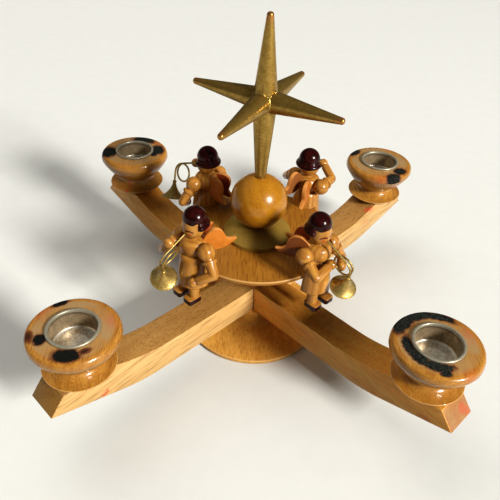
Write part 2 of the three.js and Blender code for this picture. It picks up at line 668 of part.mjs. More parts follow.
// Centre line of the horn: straight lead pipe, a loop of a full turn and more,
// and a straight tail to the bell. It lies in the XZ plane, apart from the
// sideways step of the loop, with the mouthpiece at the origin.
class HornLine extends THREE.Curve {
  constructor() {
    super();
    const slope = radians(HORN_LEAD_SLOPE);
    this.leadEnd = new THREE.Vector3(Math.cos(slope), 0, -Math.sin(slope));
    this.leadEnd.multiplyScalar(HORN_LEAD);
    const inwards = new THREE.Vector3(-Math.sin(slope), 0, -Math.cos(slope));
    this.centre = this.leadEnd.clone().addScaledVector(inwards, HORN_LOOP);
    this.startAngle = Math.PI / 2 - slope;
    this.turn = this.startAngle + 2 * Math.PI;
    this.loopLength = this.turn * HORN_LOOP;
    this.wholeLength = HORN_LEAD + this.loopLength + HORN_TAIL;
  }

  onLead(share) {
    return this.leadEnd.clone().multiplyScalar(share);
  }

  onLoop(share) {
    const angle = this.startAngle - share * this.turn;
    const side = HORN_PITCH * (this.turn / (2 * Math.PI)) * share;
    const offset = new THREE.Vector3(Math.cos(angle), 0, Math.sin(angle));
    return offset.multiplyScalar(HORN_LOOP).add(this.centre).setY(side);
  }

  getPoint(t) {
    const run = t * this.wholeLength;
    if (run < HORN_LEAD) return this.onLead(run / HORN_LEAD);
    const loopRun = run - HORN_LEAD;
    if (loopRun < this.loopLength) return this.onLoop(loopRun / this.loopLength);
    const tailEnd = this.onLoop(1);
    tailEnd.z -= loopRun - this.loopLength;
    return tailEnd;
  }
}

const hornLine = new HornLine();

// Bell: a thin flared cone that opens downwards from the end of the tail.
function hornBell() {
  const profile = new THREE.Path()
    .moveTo(0, -BELL_THROAT)
    .lineTo(BELL_FLARE_RADIUS - BELL_WALL, -BELL_FLARE)
    .lineTo(BELL_RADIUS - BELL_WALL, -BELL_LENGTH)
    .lineTo(BELL_RADIUS, -BELL_LENGTH)
    .lineTo(BELL_FLARE_RADIUS, -BELL_FLARE)
    .lineTo(BELL_THROAT_RADIUS, 0)
    .lineTo(0, WIRE_RADIUS);
  return turned(profile, HEAD_SIDES).translate(...hornLine.getPoint(1).toArray());
}

// Moves the horn's mouthpiece to the angel's mouth.
function hornPlacement({ yaw, pitch, roll }) {
  const turn = new THREE.Euler(radians(roll), radians(pitch), radians(yaw));
  const drop = radians(MOUTH_DROP);
  const lips = HEAD_RADIUS + FIT;
  const place = new THREE.Matrix4().makeRotationFromEuler(turn);
  return place.setPosition(lips * Math.cos(drop), 0, headHeight - lips * Math.sin(drop));
}

// Where a hand is, in the angel's frame: on the skirt, or beside the horn's pipe.
// Side is 1 for left and -1 for right.
function handPlace(hand, side, placement) {
  if (hand.lap) {
    const reach = HEM_RADIUS + FIT + HAND_RADIUS;
    const angle = side * radians(LAP_ANGLE);
    return new THREE.Vector3(reach * Math.cos(angle), reach * Math.sin(angle), -LAP_DROP);
  }
  const point = hand.lead ? hornLine.onLead(hand.lead) : hornLine.onLoop(hand.loop);
  point.y += side * HAND_RADIUS;
  return point.applyMatrix4(placement);
}

// The elbow of an arm with two given lengths, bent outwards and down by an angle.
function elbowPlace(shoulder, hand, side, angle) {
  const reach = hand.clone().sub(shoulder);
  const distance = reach.length();
  const along = (distance ** 2 + UPPER_ARM ** 2 - FOREARM ** 2) / (2 * distance);
  const bend = new THREE.Vector3(0, side * Math.cos(angle), -Math.sin(angle));
  reach.normalize();
  bend.addScaledVector(reach, -bend.dot(reach)).normalize();
  const out = Math.sqrt(Math.max(UPPER_ARM ** 2 - along ** 2, 0));
  return shoulder.clone().addScaledVector(reach, along).addScaledVector(bend, out);
}

// Upper arm: ball sleeve, cuff ring and tapered arm with a pointed elbow,
// turned in one. It is drawn up from the middle of the sleeve.
function upperArm(length) {
  const slope = Math.acos(ARM_RADIUS / SLEEVE_RADIUS);
  const cuffEnd = SLEEVE_RADIUS + CUFF_WIDTH;
  const elbowEnd = length + ELBOW_RADIUS;
  const profile = new THREE.Path();
  profile.moveTo(0, -SLEEVE_RADIUS);
  profile.absarc(0, 0, SLEEVE_RADIUS, -Math.PI / 2, slope, false);
  profile.lineTo(CUFF_RADIUS, SLEEVE_RADIUS);
  profile.lineTo(CUFF_RADIUS, cuffEnd);
  profile.lineTo(ARM_RADIUS, cuffEnd);
  profile.lineTo(ELBOW_RADIUS, length);
  profile.lineTo(0, elbowEnd);
  return turned(profile, LIMB_SIDES);
}

// Forearm: a plain peg with a pointed end and a ball for a hand.
function forearm(length) {
  const wrist = Math.acos(ELBOW_RADIUS / HAND_RADIUS);
  const profile = new THREE.Path();
  profile.moveTo(0, -ELBOW_RADIUS);
  profile.lineTo(ELBOW_RADIUS, 0);
  profile.lineTo(ELBOW_RADIUS, length - HAND_RADIUS * Math.sin(wrist));
  profile.absarc(0, length, HAND_RADIUS, -wrist, Math.PI / 2, false);
  return turned(profile, WIRE_SIDES);
}

// Arm: both halves glued at the elbow. The sleeve has a flat for the chest, and
// a hand that holds the horn has a groove for its pipe.
function angelArm(pose, side) {
  const placement = hornPlacement(pose.horn);
  const { hand, elbow: bend } = side > 0 ? pose.left : pose.right;
  const shoulder = new THREE.Vector3(0, side * shoulderSpread, SHOULDER_HEIGHT);
  const fist = handPlace(hand, side, placement);
  const elbow = elbowPlace(shoulder, fist, side, radians(bend));
  const whole = joined(
    laid(upperArm(UPPER_ARM), shoulder, elbow),
    laid(forearm(elbow.distanceTo(fist)), elbow, fist),
  );
  const size = 2 * SLEEVE_RADIUS;
  const flat = new THREE.BoxGeometry(size, size, size);
  flat.translate(0, side * (CHEST_RADIUS + SEAT_GAP - SLEEVE_RADIUS), SHOULDER_HEIGHT);
  if (hand.lap) return surface(without(whole, flat));
  const groove = bar(hornLine, WIRE_RADIUS + FIT, HORN_STEPS).applyMatrix4(placement);
  return surface(without(whole, flat, groove));
}

// Angel, seated on the plate's edge. The group's origin is on the plate's top.
function angel(number, pose) {
  const name = (part) => `angel_${number}_${part}`;
  const reach = plateRadius + ANGEL_OUT + pose.seat.out;
  const group = new THREE.Group();
  const head = piece(name('head'), angelHead(), skin);
  const hair = piece(name('hair'), angelHair(), darkPaint);
  head.position.z = headHeight;
  hair.position.z = headHeight;
  group.add(piece(name('body'), angelBody(reach), skin), head, hair);
  for (const [label, side] of [['left', 1], ['right', -1]]) {
    const { sweep, droop } = pose[label].wing;
    const leg = piece(name(`leg_${label}`), angelLeg(), skin);
    const wing = piece(name(`wing_${label}`), angelWing(droop, side), skin);
    leg.position.set(LEG_FORWARD, side * LEG_SPREAD, -HEM_DROP);
    wing.rotation.z = Math.PI - side * radians(sweep);
    group.add(piece(name(`arm_${label}`), angelArm(pose, side), skin), leg, wing);
  }
  const pipe = joined(bar(hornLine, WIRE_RADIUS, HORN_STEPS), hornBell());
  const horn = piece(name('horn'), surface(pipe), brass);
  horn.applyMatrix4(hornPlacement(pose.horn));
  group.add(horn);
  group.position.set(reach, 0, plateTop);
  const seat = new THREE.Group();
  seat.rotation.z = radians(pose.seat.turn);
  return seat.add(group);
}

const holder = new THREE.Group();
const lowerBeam = piece('cross_beam_lower', crossBeam(true), beech);
const upperBeam = piece('cross_beam_upper', crossBeam(false), beech);
lowerBeam.rotation.z = Math.PI / 4;
upperBeam.rotation.z = -Math.PI / 4;
holder.add(piece('base_disc', baseDisc(), honey), lowerBeam, upperBeam);
holder.add(piece('centre_post', centrePost(), honey));
holder.add(piece('top_plate', topPlate(), honey));
holder.add(piece('gold_disc', goldDisc(), goldPaint));
holder.add(piece('ball', woodBall(), honey));
holder.add(star());

POSES.forEach((pose, i) => {
  const quarter = new THREE.Group();
  const cup = piece(`candle_cup_${i + 1}`, candleCup(), honey);
  const liner = piece(`candle_liner_${i + 1}`, candleLiner(), tin);
  cup.position.set(cupReach, 0, seatHeight);
  liner.position.set(cupReach, 0, seatHeight);
  quarter.add(cup, liner, angel(i + 1, pose));
  quarter.rotation.z = Math.PI / 4 + i * Math.PI / 2;
  holder.add(quarter);
});

export default holder;
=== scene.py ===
# Looks of an advent candle holder of turned and sawn beech, in the order in which it is
# put together: foot, crossed beams, post, plate, gold disc, ball, star, candle cups with
# their liners, and the four angels. Meshes are drawn in millimetres and stored in metres.

from math import acos, asin, atan2, cos, degrees, exp, pi, radians, sin, sqrt

import bmesh
import bpy
from mathutils import Matrix, Vector


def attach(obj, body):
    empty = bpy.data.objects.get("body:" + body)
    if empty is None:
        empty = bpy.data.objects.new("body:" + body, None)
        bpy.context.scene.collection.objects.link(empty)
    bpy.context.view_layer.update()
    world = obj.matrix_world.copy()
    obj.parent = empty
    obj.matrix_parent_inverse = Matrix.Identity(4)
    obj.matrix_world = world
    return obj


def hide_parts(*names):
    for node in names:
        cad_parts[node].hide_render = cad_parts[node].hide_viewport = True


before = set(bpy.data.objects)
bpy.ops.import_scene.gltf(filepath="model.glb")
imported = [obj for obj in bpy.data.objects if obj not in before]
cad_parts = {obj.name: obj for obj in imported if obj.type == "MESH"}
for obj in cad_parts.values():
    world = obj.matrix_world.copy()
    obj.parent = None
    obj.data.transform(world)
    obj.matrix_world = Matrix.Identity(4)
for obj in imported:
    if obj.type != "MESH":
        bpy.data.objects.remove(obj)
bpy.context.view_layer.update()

# Foot: a thin disc with a boss in the middle, turned from one piece of beech, stained a
# warm honey and lacquered. It stands free on the table and holds the post's tenon.
MM = 0.001
SEAT_GAP = 0.15
FIT = 0.3
FOOT_RADIUS = 41.8
FOOT_RIM = 2.4
FOOT_EASE = 0.5
BOSS_RADIUS = 16.5
BOSS_FOOT = 5.8
BOSS_COVE = 2
BOSS_HEIGHT = 16.25
TENON_RADIUS = 6
FOOT_FLOOR = 3
FINE_SIDES = 112
OWN_PLACE = "own_place"
RELIEF_DEPTH = 0.1
GRAIN_RELIEF = 0.12
LACQUER_ROUGHNESS = 0.09
WOOD_SPECULAR = 0.3
FLECK_CUT = 0.55
FLECK_BLUR = 0.08
HEART = (29, 17, 0)
RING_WANDER = 18
# colour and share of a painted highlight along turned edges
EDGE_HIGHLIGHT = 0xE9BC7C
EDGE_HIGHLIGHT_SHARE = 0.5
scene = bpy.context.scene


def drawn(*stops, steps=10):
    """Points of a drawn line. A stop is (across, up), or (across, up, pull across, pull up)
    where a curve ends that leans towards its pull."""
    points = [Vector(stops[0])]
    for stop in stops[1:]:
        start, end = points[-1], Vector(stop[:2])
        if len(stop) == 2:
            points.append(end)
            continue
        pull = Vector(stop[2:])
        for i in range(1, steps + 1):
            t = i / steps
            points.append(start * (1 - t) ** 2 + pull * (2 * t * (1 - t)) + end * t * t)
    return points


def mark_place(bm):
    """Stores each vertex's place in the piece's own frame, where the wood grain lives."""
    layer = bm.verts.layers.float_vector.get(OWN_PLACE)
    if layer is None:
        layer = bm.verts.layers.float_vector.new(OWN_PLACE)
        for vert in bm.verts:
            vert[layer] = vert.co


def turned(line, sides=FINE_SIDES):
    """Turns a line of radius and height about Z, as on a lathe."""
    bm = bmesh.new()
    verts = [bm.verts.new((radius, 0, height)) for radius, height in line]
    edges = [bm.edges.new(pair) for pair in zip(verts, verts[1:])]
    bmesh.ops.spin(bm, geom=verts + edges, cent=(0, 0, 0), axis=(0, 0, 1), angle=2 * pi,
                   steps=sides, use_merge=True)
    bmesh.ops.remove_doubles(bm, verts=bm.verts, dist=1e-4)
    bmesh.ops.recalc_face_normals(bm, faces=bm.faces)
    mark_place(bm)
    return bm


def mesh_of(bm, name):
    """Stores a shape as a mesh and lets the shape go."""
    mesh = bpy.data.meshes.new(name)
    bm.to_mesh(mesh)
    bm.free()
    return mesh


def stood(name, data):
    """Stands a mesh, a lamp or a camera in the scene."""
    made = bpy.data.objects.new(name, data)
    scene.collection.objects.link(made)
    return made


def piece(bm, name, material, node, body="holder", place=Matrix(), sharp=38):
    """Makes the finished object of a shape, in place, riding on its body for its node."""
    mark_place(bm)
    mesh = mesh_of(bm, name)
    mesh.transform(Matrix.Scale(MM, 4) @ place)
    mesh.shade_smooth()
    mesh.set_sharp_from_angle(angle=radians(sharp))
    mesh.materials.append(material)
    made = stood(name, mesh)
    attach(made, body)
    if node:
        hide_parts(node)


def colour_of(code):
    """A colour written as on the web, as the linear values that a shader takes."""
    channels = [(code >> shift & 255) / 255 for shift in (16, 8, 0)]
    linear = [c / 12.92 if c < 0.04045 else ((c + 0.055) / 1.055) ** 2.4 for c in channels]
    return (*linear, 1)


def feed(tree, node, inputs):
    """Links each input of a node to a socket, or sets it to a value."""
    for key, value in inputs.items():
        if isinstance(value, bpy.types.NodeSocket):
            tree.links.new(value, node.inputs[key])
        else:
            node.inputs[key].default_value = value


def put(tree, kind, inputs=None, **settings):
    """Adds a node with its settings and inputs."""
    made = tree.nodes.new(kind)
    for name, value in settings.items():
        setattr(made, name, value)
    feed(tree, made, inputs or {})
    return made


def use(tree, group, inputs):
    """Adds a shader group and gives what comes out of it."""
    return put(tree, "ShaderNodeGroup", inputs, node_tree=group).outputs


def calc(tree, operation, *values, clamp=False):
    return put(tree, "ShaderNodeMath", dict(enumerate(values)), operation=operation,
               use_clamp=clamp).outputs[0]


def vector(tree, operation, *values, **named):
    made = put(tree, "ShaderNodeVectorMath", dict(enumerate(values), **named),
               operation=operation).outputs
    return made["Value" if operation in ("LENGTH", "DISTANCE", "DOT_PRODUCT") else "Vector"]


def coordinate(tree, place, axis="Z"):
    return put(tree, "ShaderNodeSeparateXYZ", {0: place}).outputs[axis]


def combined(tree, *parts):
    return put(tree, "ShaderNodeCombineXYZ", dict(enumerate(parts))).outputs[0]


def from_axis(tree, place):
    """How far a place lies from the axis that its piece is turned about."""
    return vector(tree, "LENGTH", vector(tree, "MULTIPLY", place, (1, 1, 0)))


def noise(tree, place, stretch, detail=2, rough=0.5):
    """Noise that is drawn out differently along each axis, in repeats per millimetre."""
    scaled = vector(tree, "MULTIPLY", place, stretch)
    return put(tree, "ShaderNodeTexNoise", {"Vector": scaled, "Scale": 1, "Detail": detail,
                                            "Roughness": rough}).outputs["Fac"]


def ramp(tree, value, low, high, out_low=0, out_high=1):
    """A smooth step from one outcome to another, while a value goes from low to high."""
    return put(tree, "ShaderNodeMapRange", {0: value, 1: low, 2: high, 3: out_low, 4: out_high},
               interpolation_type="SMOOTHSTEP").outputs[0]


def blend(tree, share, *hues, mode="MIX"):
    """Blends two colours, each of them a socket or a code."""
    first, second = [colour_of(hue) if isinstance(hue, int) else hue for hue in hues]
    return put(tree, "ShaderNodeMix", {0: share, 6: first, 7: second}, data_type="RGBA",
               blend_type=mode).outputs[2]


def shader_group(name, inputs, outputs, points=()):
    """An empty shader group, with a place and more points, float inputs and float outputs."""
    group = bpy.data.node_groups.new(name, "ShaderNodeTree")
    for label in ("Place", *points):
        group.interface.new_socket(label, in_out="INPUT", socket_type="NodeSocketVector")
    for label, value in inputs.items():
        made = group.interface.new_socket(label, in_out="INPUT", socket_type="NodeSocketFloat")
        made.default_value = value
    for label in outputs:
        group.interface.new_socket(label, in_out="OUTPUT", socket_type="NodeSocketFloat")
    enter = group.nodes.new("NodeGroupInput")
    leave = group.nodes.new("NodeGroupOutput")
    return group, enter.outputs, leave.inputs


# beech grain: growth rings round a heart far off the piece, fibres, and short dark flecks
grain, given, wanted = shader_group(
    "beech_grain", {"Ring Width": 3, "Ring Share": 0.3, "Waviness": 1, "Fleck Length": 6,
                    "Fleck Width": 0.5, "Fleck Cut": FLECK_CUT}, ("Tone", "Fleck", "Height"))
wander = noise(grain, given["Place"], (0.035, 0.035, 0.008))
wander = calc(grain, "MULTIPLY", calc(grain, "SUBTRACT", wander, 0.5), RING_WANDER)
wander = calc(grain, "MULTIPLY", wander, given["Waviness"])
heart = from_axis(grain, vector(grain, "ADD", given["Place"], HEART))
rings = calc(grain, "DIVIDE", calc(grain, "ADD", heart, wander), given["Ring Width"])
rings = ramp(grain, calc(grain, "SINE", calc(grain, "MULTIPLY", rings, 2 * pi)), -1, 1)
fibres = noise(grain, given["Place"], (1.1, 1.1, 0.06), 4, 0.6)
slow = calc(grain, "DIVIDE", 1, given["Fleck Length"])
fast = calc(grain, "DIVIDE", 1, given["Fleck Width"])
flecks = ramp(grain, noise(grain, given["Place"], combined(grain, fast, fast, slow), 1),
              given["Fleck Cut"], calc(grain, "ADD", given["Fleck Cut"], FLECK_BLUR))
tone = calc(grain, "MULTIPLY_ADD", calc(grain, "SUBTRACT", rings, fibres),
            given["Ring Share"], fibres)
grain.links.new(tone, wanted["Tone"])
grain.links.new(flecks, wanted["Fleck"])
grain.links.new(calc(grain, "SUBTRACT", fibres, flecks), wanted["Height"])


def plain_material(name):
    made = bpy.data.materials.new(name)
    made.use_nodes = True
    tree = made.node_tree
    return made, tree, tree.nodes["Principled BSDF"]


def own_place(tree, turn=(0, 0, 0), shift=(0, 0, 0)):
    """The place in the piece's own frame, turned until the grain runs along Z."""
    read = put(tree, "ShaderNodeAttribute", attribute_name=OWN_PLACE).outputs["Vector"]
    angles = [radians(angle) for angle in turn]
    return put(tree, "ShaderNodeMapping",
               {"Vector": read, "Rotation": angles, "Location": shift}).outputs["Vector"]


def bumped(tree, shader, height, strength):
    """Gives a surface its fine relief."""
    bump = put(tree, "ShaderNodeBump", {"Height": height, "Strength": strength,
                                        "Distance": RELIEF_DEPTH * MM})
    tree.links.new(bump.outputs["Normal"], shader.inputs["Normal"])


def wood(name, pale, deep, dark, turn=(0, 0, 0), shift=(0, 0, 0), ring=3, ring_share=0.25,
         wavy=1, fleck=(6, 0.5, 0.5), gloss=(0.3, 0.44), coat=0.25, paint=None):
    """Lacquered beech, with flecks as (length, width, share, and where its noise is cut). A paint
    function may lay stains, paint or painted light and shade over the wood, and tells where it has
    no lacquer."""
    made, tree, shader = plain_material(name)
    length, width, share, cut = (*fleck, FLECK_CUT)[:4]
    place = own_place(tree, turn, shift)
    figure = use(tree, grain, {
        "Place": place, "Ring Width": ring, "Ring Share": ring_share, "Waviness": wavy,
        "Fleck Length": length, "Fleck Width": width, "Fleck Cut": cut})
    hue = blend(tree, figure["Tone"], pale, deep)
    cloud = ramp(tree, noise(tree, place, (0.05, 0.05, 0.03)), 0.3, 0.7, 0, 0.35)
    hue = blend(tree, cloud, hue, deep)
    hue = blend(tree, calc(tree, "MULTIPLY", figure["Fleck"], share), hue, dark)
    rough = ramp(tree, figure["Tone"], 0.2, 0.8, *gloss)
    shine = coat
    if paint:
        hue, rough, bare = paint(tree, hue, rough)
        if bare:
            shine = calc(tree, "MULTIPLY_ADD", bare, -coat, coat, clamp=True)
    feed(tree, shader, {"Base Color": hue, "Roughness": rough, "Coat Weight": shine,
                        "Coat Roughness": LACQUER_ROUGHNESS, "Specular IOR Level": WOOD_SPECULAR})
    bumped(tree, shader, figure["Height"], GRAIN_RELIEF)
    return made


def highlit_rim(radius, height):
    """Paint function for a pale painted highlight along a turned edge."""
    def paint(tree, hue, rough):
        place = own_place(tree)
        above = calc(tree, "ABSOLUTE", calc(tree, "SUBTRACT", coordinate(tree, place), height))
        near = calc(tree, "ADD", calc(tree, "SUBTRACT", radius, from_axis(tree, place)), above)
        rim_highlight = ramp(tree, near, 0.9, 0.35, 0, EDGE_HIGHLIGHT_SHARE)
        return blend(tree, rim_highlight, hue, EDGE_HIGHLIGHT), rough, None
    return paint


# the foot's rim gets a painted highlight, a pale band along its edge
foot_wood = wood("foot_wood", 0xF5BF60, 0xBD7F32, 0x8F5720, turn=(-90, 0, -14), ring=6,
                 ring_share=0.12, fleck=(5, 0.7, 0.4), paint=highlit_rim(FOOT_RADIUS, FOOT_RIM))
foot = turned(drawn(
    (0, 0), (FOOT_RADIUS - FOOT_EASE, 0), (FOOT_RADIUS, FOOT_EASE, FOOT_RADIUS, 0),
    (FOOT_RADIUS, FOOT_RIM - FOOT_EASE),
    (FOOT_RADIUS - FOOT_EASE, FOOT_RIM, FOOT_RADIUS, FOOT_RIM),
    (BOSS_RADIUS + BOSS_COVE, BOSS_FOOT),
    (BOSS_RADIUS, BOSS_FOOT + BOSS_COVE, BOSS_RADIUS, BOSS_FOOT),
    (BOSS_RADIUS, BOSS_HEIGHT - FOOT_EASE),
    (BOSS_RADIUS - FOOT_EASE, BOSS_HEIGHT, BOSS_RADIUS, BOSS_HEIGHT),
    (TENON_RADIUS + FIT, BOSS_HEIGHT), (TENON_RADIUS + FIT, FOOT_FLOOR), (0, FOOT_FLOOR),
))
piece(foot, "turned_foot", foot_wood, "base_disc")

# Crossed beams: two boards of straight-grained beech, sawn to a curve that climbs to the
# candle cups, with bevelled ends and broken edges. They are half-lapped at the crossing.
BEAM_WIDTH = 18.5
BEAM_DEPTH = 16.9
BEAM_UNDERSIDE = BOSS_HEIGHT + SEAT_GAP
BEAM_TOP = BEAM_UNDERSIDE + BEAM_DEPTH
CUP_REACH = 118
CUP_SEAT = BEAM_TOP + 7.4
SEAT_START = CUP_REACH - 12
TOP_SWEEP = 36
UNDER_BEND = CUP_REACH - 28
UNDER_BLEND = 12
END_DEPTH = 9.9
BEAM_END = CUP_REACH + 22.8
END_BEVEL = 8
BROKEN_EDGE = 0.45
WAX_RED = 0xC2452F
WAX_RAGGED = 5


def about(axis, angle):
    """A turn about an axis, in degrees."""
    return Matrix.Rotation(radians(angle), 4, axis)


def everything(bm):
    return bm.verts[:] + bm.edges[:] + bm.faces[:]


def sharp_edges(bm, angle):
    return [edge for edge in bm.edges if edge.calc_face_angle(0) > radians(angle)]


def eased(bm, edges, width, steps=3, clamp=False):
    """Rounds some edges of a shape."""
    bmesh.ops.bevel(bm, geom=edges, offset=width, segments=steps, profile=0.5, affect="EDGES",
                    material=-1, clamp_overlap=clamp)


def board(line, thickness, edge):
    """A board sawn to a closed line in the XZ plane, with its edges broken."""
    bm = bmesh.new()
    face = bm.faces.new([bm.verts.new((x, -thickness / 2, z)) for x, z in line])
    pushed = bmesh.ops.extrude_face_region(bm, geom=[face])["geom"]
    moved = [item for item in pushed if isinstance(item, bmesh.types.BMVert)]
    bmesh.ops.translate(bm, verts=moved, vec=(0, thickness, 0))
    bmesh.ops.recalc_face_normals(bm, faces=bm.faces)
    eased(bm, sharp_edges(bm, 20), edge, clamp=True)
    return bm


def beam_line(notch_opens_up):
    """Outline of a beam, counterclockwise from its lower left end."""
    notch = BEAM_WIDTH / 2 + FIT
    lap = BEAM_UNDERSIDE + BEAM_DEPTH / 2
    end_under = CUP_SEAT - END_DEPTH
    rise = UNDER_BLEND * (end_under - BEAM_UNDERSIDE) / (BEAM_END - UNDER_BEND)
    sweep_start = SEAT_START - TOP_SWEEP
    sweep_pull = SEAT_START - TOP_SWEEP / 2
    low = lap + SEAT_GAP / 2
    high = lap - SEAT_GAP / 2
    under = [(-notch, BEAM_UNDERSIDE), (-notch, low), (notch, low), (notch, BEAM_UNDERSIDE)]
    over = [(notch, BEAM_TOP), (notch, high), (-notch, high), (-notch, BEAM_TOP)]
    return drawn(
        (-BEAM_END, end_under),
        (-UNDER_BEND - UNDER_BLEND, BEAM_UNDERSIDE + rise),
        (-UNDER_BEND + UNDER_BLEND, BEAM_UNDERSIDE, -UNDER_BEND, BEAM_UNDERSIDE),
        *([] if notch_opens_up else under),
        (UNDER_BEND - UNDER_BLEND, BEAM_UNDERSIDE),
        (UNDER_BEND + UNDER_BLEND, BEAM_UNDERSIDE + rise, UNDER_BEND, BEAM_UNDERSIDE),
        (BEAM_END, end_under), (BEAM_END - END_BEVEL, CUP_SEAT), (SEAT_START, CUP_SEAT),
        (sweep_start, BEAM_TOP, sweep_pull, BEAM_TOP),
        *(over if notch_opens_up else []),
        (-sweep_start, BEAM_TOP), (-SEAT_START, CUP_SEAT, -sweep_pull, BEAM_TOP),
        (END_BEVEL - BEAM_END, CUP_SEAT),
    )


stroke, given, wanted = shader_group("brush_stroke", {"Half Width": 0.3}, ("Mask",),
                                     ("Start", "End"))
run = vector(stroke, "SUBTRACT", given["End"], given["Start"])
away = vector(stroke, "SUBTRACT", given["Place"], given["Start"])
share = calc(stroke, "DIVIDE", vector(stroke, "DOT_PRODUCT", away, run),
             vector(stroke, "DOT_PRODUCT", run, run), clamp=True)
gap = vector(stroke, "DISTANCE", away, vector(stroke, "SCALE", run, Scale=share))
gap = calc(stroke, "DIVIDE", gap, given["Half Width"])
stroke.links.new(ramp(stroke, gap, 1.25, 0.75), wanted["Mask"])


def brushed_on(tree, place, start, end, half_width):
    """Where a stroke of a brush, or a run of wax, lies on a surface."""
    return use(tree, stroke, {"Place": place, "Start": start, "End": end,
                              "Half Width": half_width})["Mask"]


def waxed(tree, hue, place, drips):
    """Lays runs of red wax, as (start, end, half width, share), over a colour."""
    for *run, share in drips:
        mask = calc(tree, "MULTIPLY", brushed_on(tree, place, *run), share)
        hue = blend(tree, mask, hue, WAX_RED)
    return hue


def beam_shades_and_wax(angle, top_shade, end_shade, drips):
    """Paint function for painted shade on the top and the ends of a beam, and the red wax on it.
    """
    along = (cos(radians(angle)), sin(radians(angle)), 0)

    def paint(tree, hue, rough):
        facing = put(tree, "ShaderNodeTexCoord").outputs["Normal"]
        up = coordinate(tree, facing)
        # painted shade: faces that look up are darkened
        hue = blend(tree, ramp(tree, up, 0.45, 0.9), hue, top_shade, mode="MULTIPLY")
        end = calc(tree, "ABSOLUTE", vector(tree, "DOT_PRODUCT", facing, along))
        # painted shade: the end faces are darkened
        hue = blend(tree, ramp(tree, end, 0.6, 0.8), hue, end_shade, mode="MULTIPLY")
        place = own_place(tree)
        cloud = put(tree, "ShaderNodeTexNoise", {"Vector": place, "Scale": 0.35, "Detail": 3})
        ragged = vector(tree, "SUBTRACT", cloud.outputs["Color"], (0.5,) * 3)
        ragged = vector(tree, "MULTIPLY_ADD", ragged, (WAX_RAGGED,) * 3, place)
        return waxed(tree, hue, ragged, drips), rough, None
    return paint


# each beam: name, degrees, notch, place and turn of its grain, colours, its pores, painted
# shade of top and ends, and drips of wax
BEAMS = (
    ("lower", 45, True, (0, 0, 0), (0, -83, 0), (0xDDBB80, 0xBD9156, 0x7C4D1F),
     (17, 0.38, 0.75, 0.59), 0xCFC0A6, 0xC2B281,
     (((-111.5, -9.2, 25.6), (-113, -9.2, 25), 1.6, 0.6),
      ((100, -7.4, 39.3), (104, -9, 39.5), 1.9, 0.55),
      ((98, -9.2, 30), (101, -9.2, 31), 1.6, 0.25))),
    ("upper", -45, False, (14, 9, 210), (0, -94, 0), (0xFFD577, 0xF6A24B, 0x8F4F1C),
     (10, 0.3, 0.5), 0xD2C5A1, 0xACA8CC,
     (((136.5, 4, 35), (139, 7, 32), 2.6, 0.4),
      ((124, -9.2, 27), (128, -9.2, 28), 2.4, 0.3))),
)
for name, angle, opens_up, shift, turn, colours, pores, *shades_and_drips in BEAMS:
    beam_wood = wood(f"beam_wood_{name}", *colours, turn=turn, shift=shift, ring=7,
                     ring_share=0.2, wavy=0.6, fleck=pores, gloss=(0.4, 0.52),
                     coat=0.12, paint=beam_shades_and_wax(angle, *shades_and_drips))
    piece(board(beam_line(opens_up), BEAM_WIDTH, BROKEN_EDGE), f"beam_{name}", beam_wood,
          f"cross_beam_{name}", place=about("Z", angle))

# Post: a waisted turned shaft between the crossing and the plate. Its tenon runs through
# both beams into the foot, and its spigot up through plate and disc into the ball.
POST_RADIUS = 12.5
POST_COLLAR = 3
POST_WAIST = 9.5
POST_LOW = BEAM_TOP + SEAT_GAP
POST_HIGH = POST_LOW + 27.8
SPIGOT_RADIUS = 4.5
PLATE_UNDERSIDE = POST_HIGH + SEAT_GAP
PLATE_TOP = PLATE_UNDERSIDE + 3.6
DISC_LOW = PLATE_TOP + SEAT_GAP
DISC_TOP = DISC_LOW + 6.1
BALL_RADIUS = 15.6
BALL_HALF = BALL_RADIUS - 0.45
BALL_HEIGHT = DISC_TOP + SEAT_GAP + BALL_HALF
SPIGOT_TOP = BALL_HEIGHT - BALL_HALF + 8
post = turned(drawn(
    (0, FOOT_FLOOR + FIT), (TENON_RADIUS, FOOT_FLOOR + FIT), (TENON_RADIUS, POST_LOW),
    (POST_RADIUS, POST_LOW), (POST_RADIUS, POST_LOW + POST_COLLAR),
    (POST_WAIST, (POST_LOW + POST_HIGH) / 2, POST_WAIST, POST_LOW + POST_COLLAR),
    (POST_RADIUS, POST_HIGH - POST_COLLAR, POST_WAIST, POST_HIGH - POST_COLLAR),
    (POST_RADIUS, POST_HIGH), (SPIGOT_RADIUS, POST_HIGH), (SPIGOT_RADIUS, SPIGOT_TOP),
    (0, SPIGOT_TOP),
))
post_wood = wood("post_wood", 0xC88A44, 0xA0632B, 0x5D3011)
piece(post, "turned_post", post_wood, "centre_post")

# Plate: a thin round board, faced on the lathe and bevelled below towards a fine edge. It
# sits on the post's shoulder, and its grain runs from front to back.
PLATE_RADIUS = 44
PLATE_EDGE = 1.9
PLATE_BEVEL = 5
PLATE_EASE = 0.6
plate = turned(drawn(
    (SPIGOT_RADIUS + FIT, PLATE_UNDERSIDE), (PLATE_RADIUS - PLATE_BEVEL, PLATE_UNDERSIDE),
    (PLATE_RADIUS, PLATE_TOP - PLATE_EDGE), (PLATE_RADIUS, PLATE_TOP - PLATE_EASE),
    (PLATE_RADIUS - PLATE_EASE, PLATE_TOP, PLATE_RADIUS, PLATE_TOP),
    (SPIGOT_RADIUS + FIT, PLATE_TOP), (SPIGOT_RADIUS + FIT, PLATE_UNDERSIDE),
))
# the plate's rim gets a painted highlight along its edge
plate_wood = wood("plate_wood", 0xB88535, 0x885417, 0x683B10, turn=(-90, 0, -30), ring=6,
                  ring_share=0.15, fleck=(8, 0.65, 0.5), paint=highlit_rim(PLATE_RADIUS, PLATE_TOP))
piece(plate, "turned_plate", plate_wood, "top_plate")

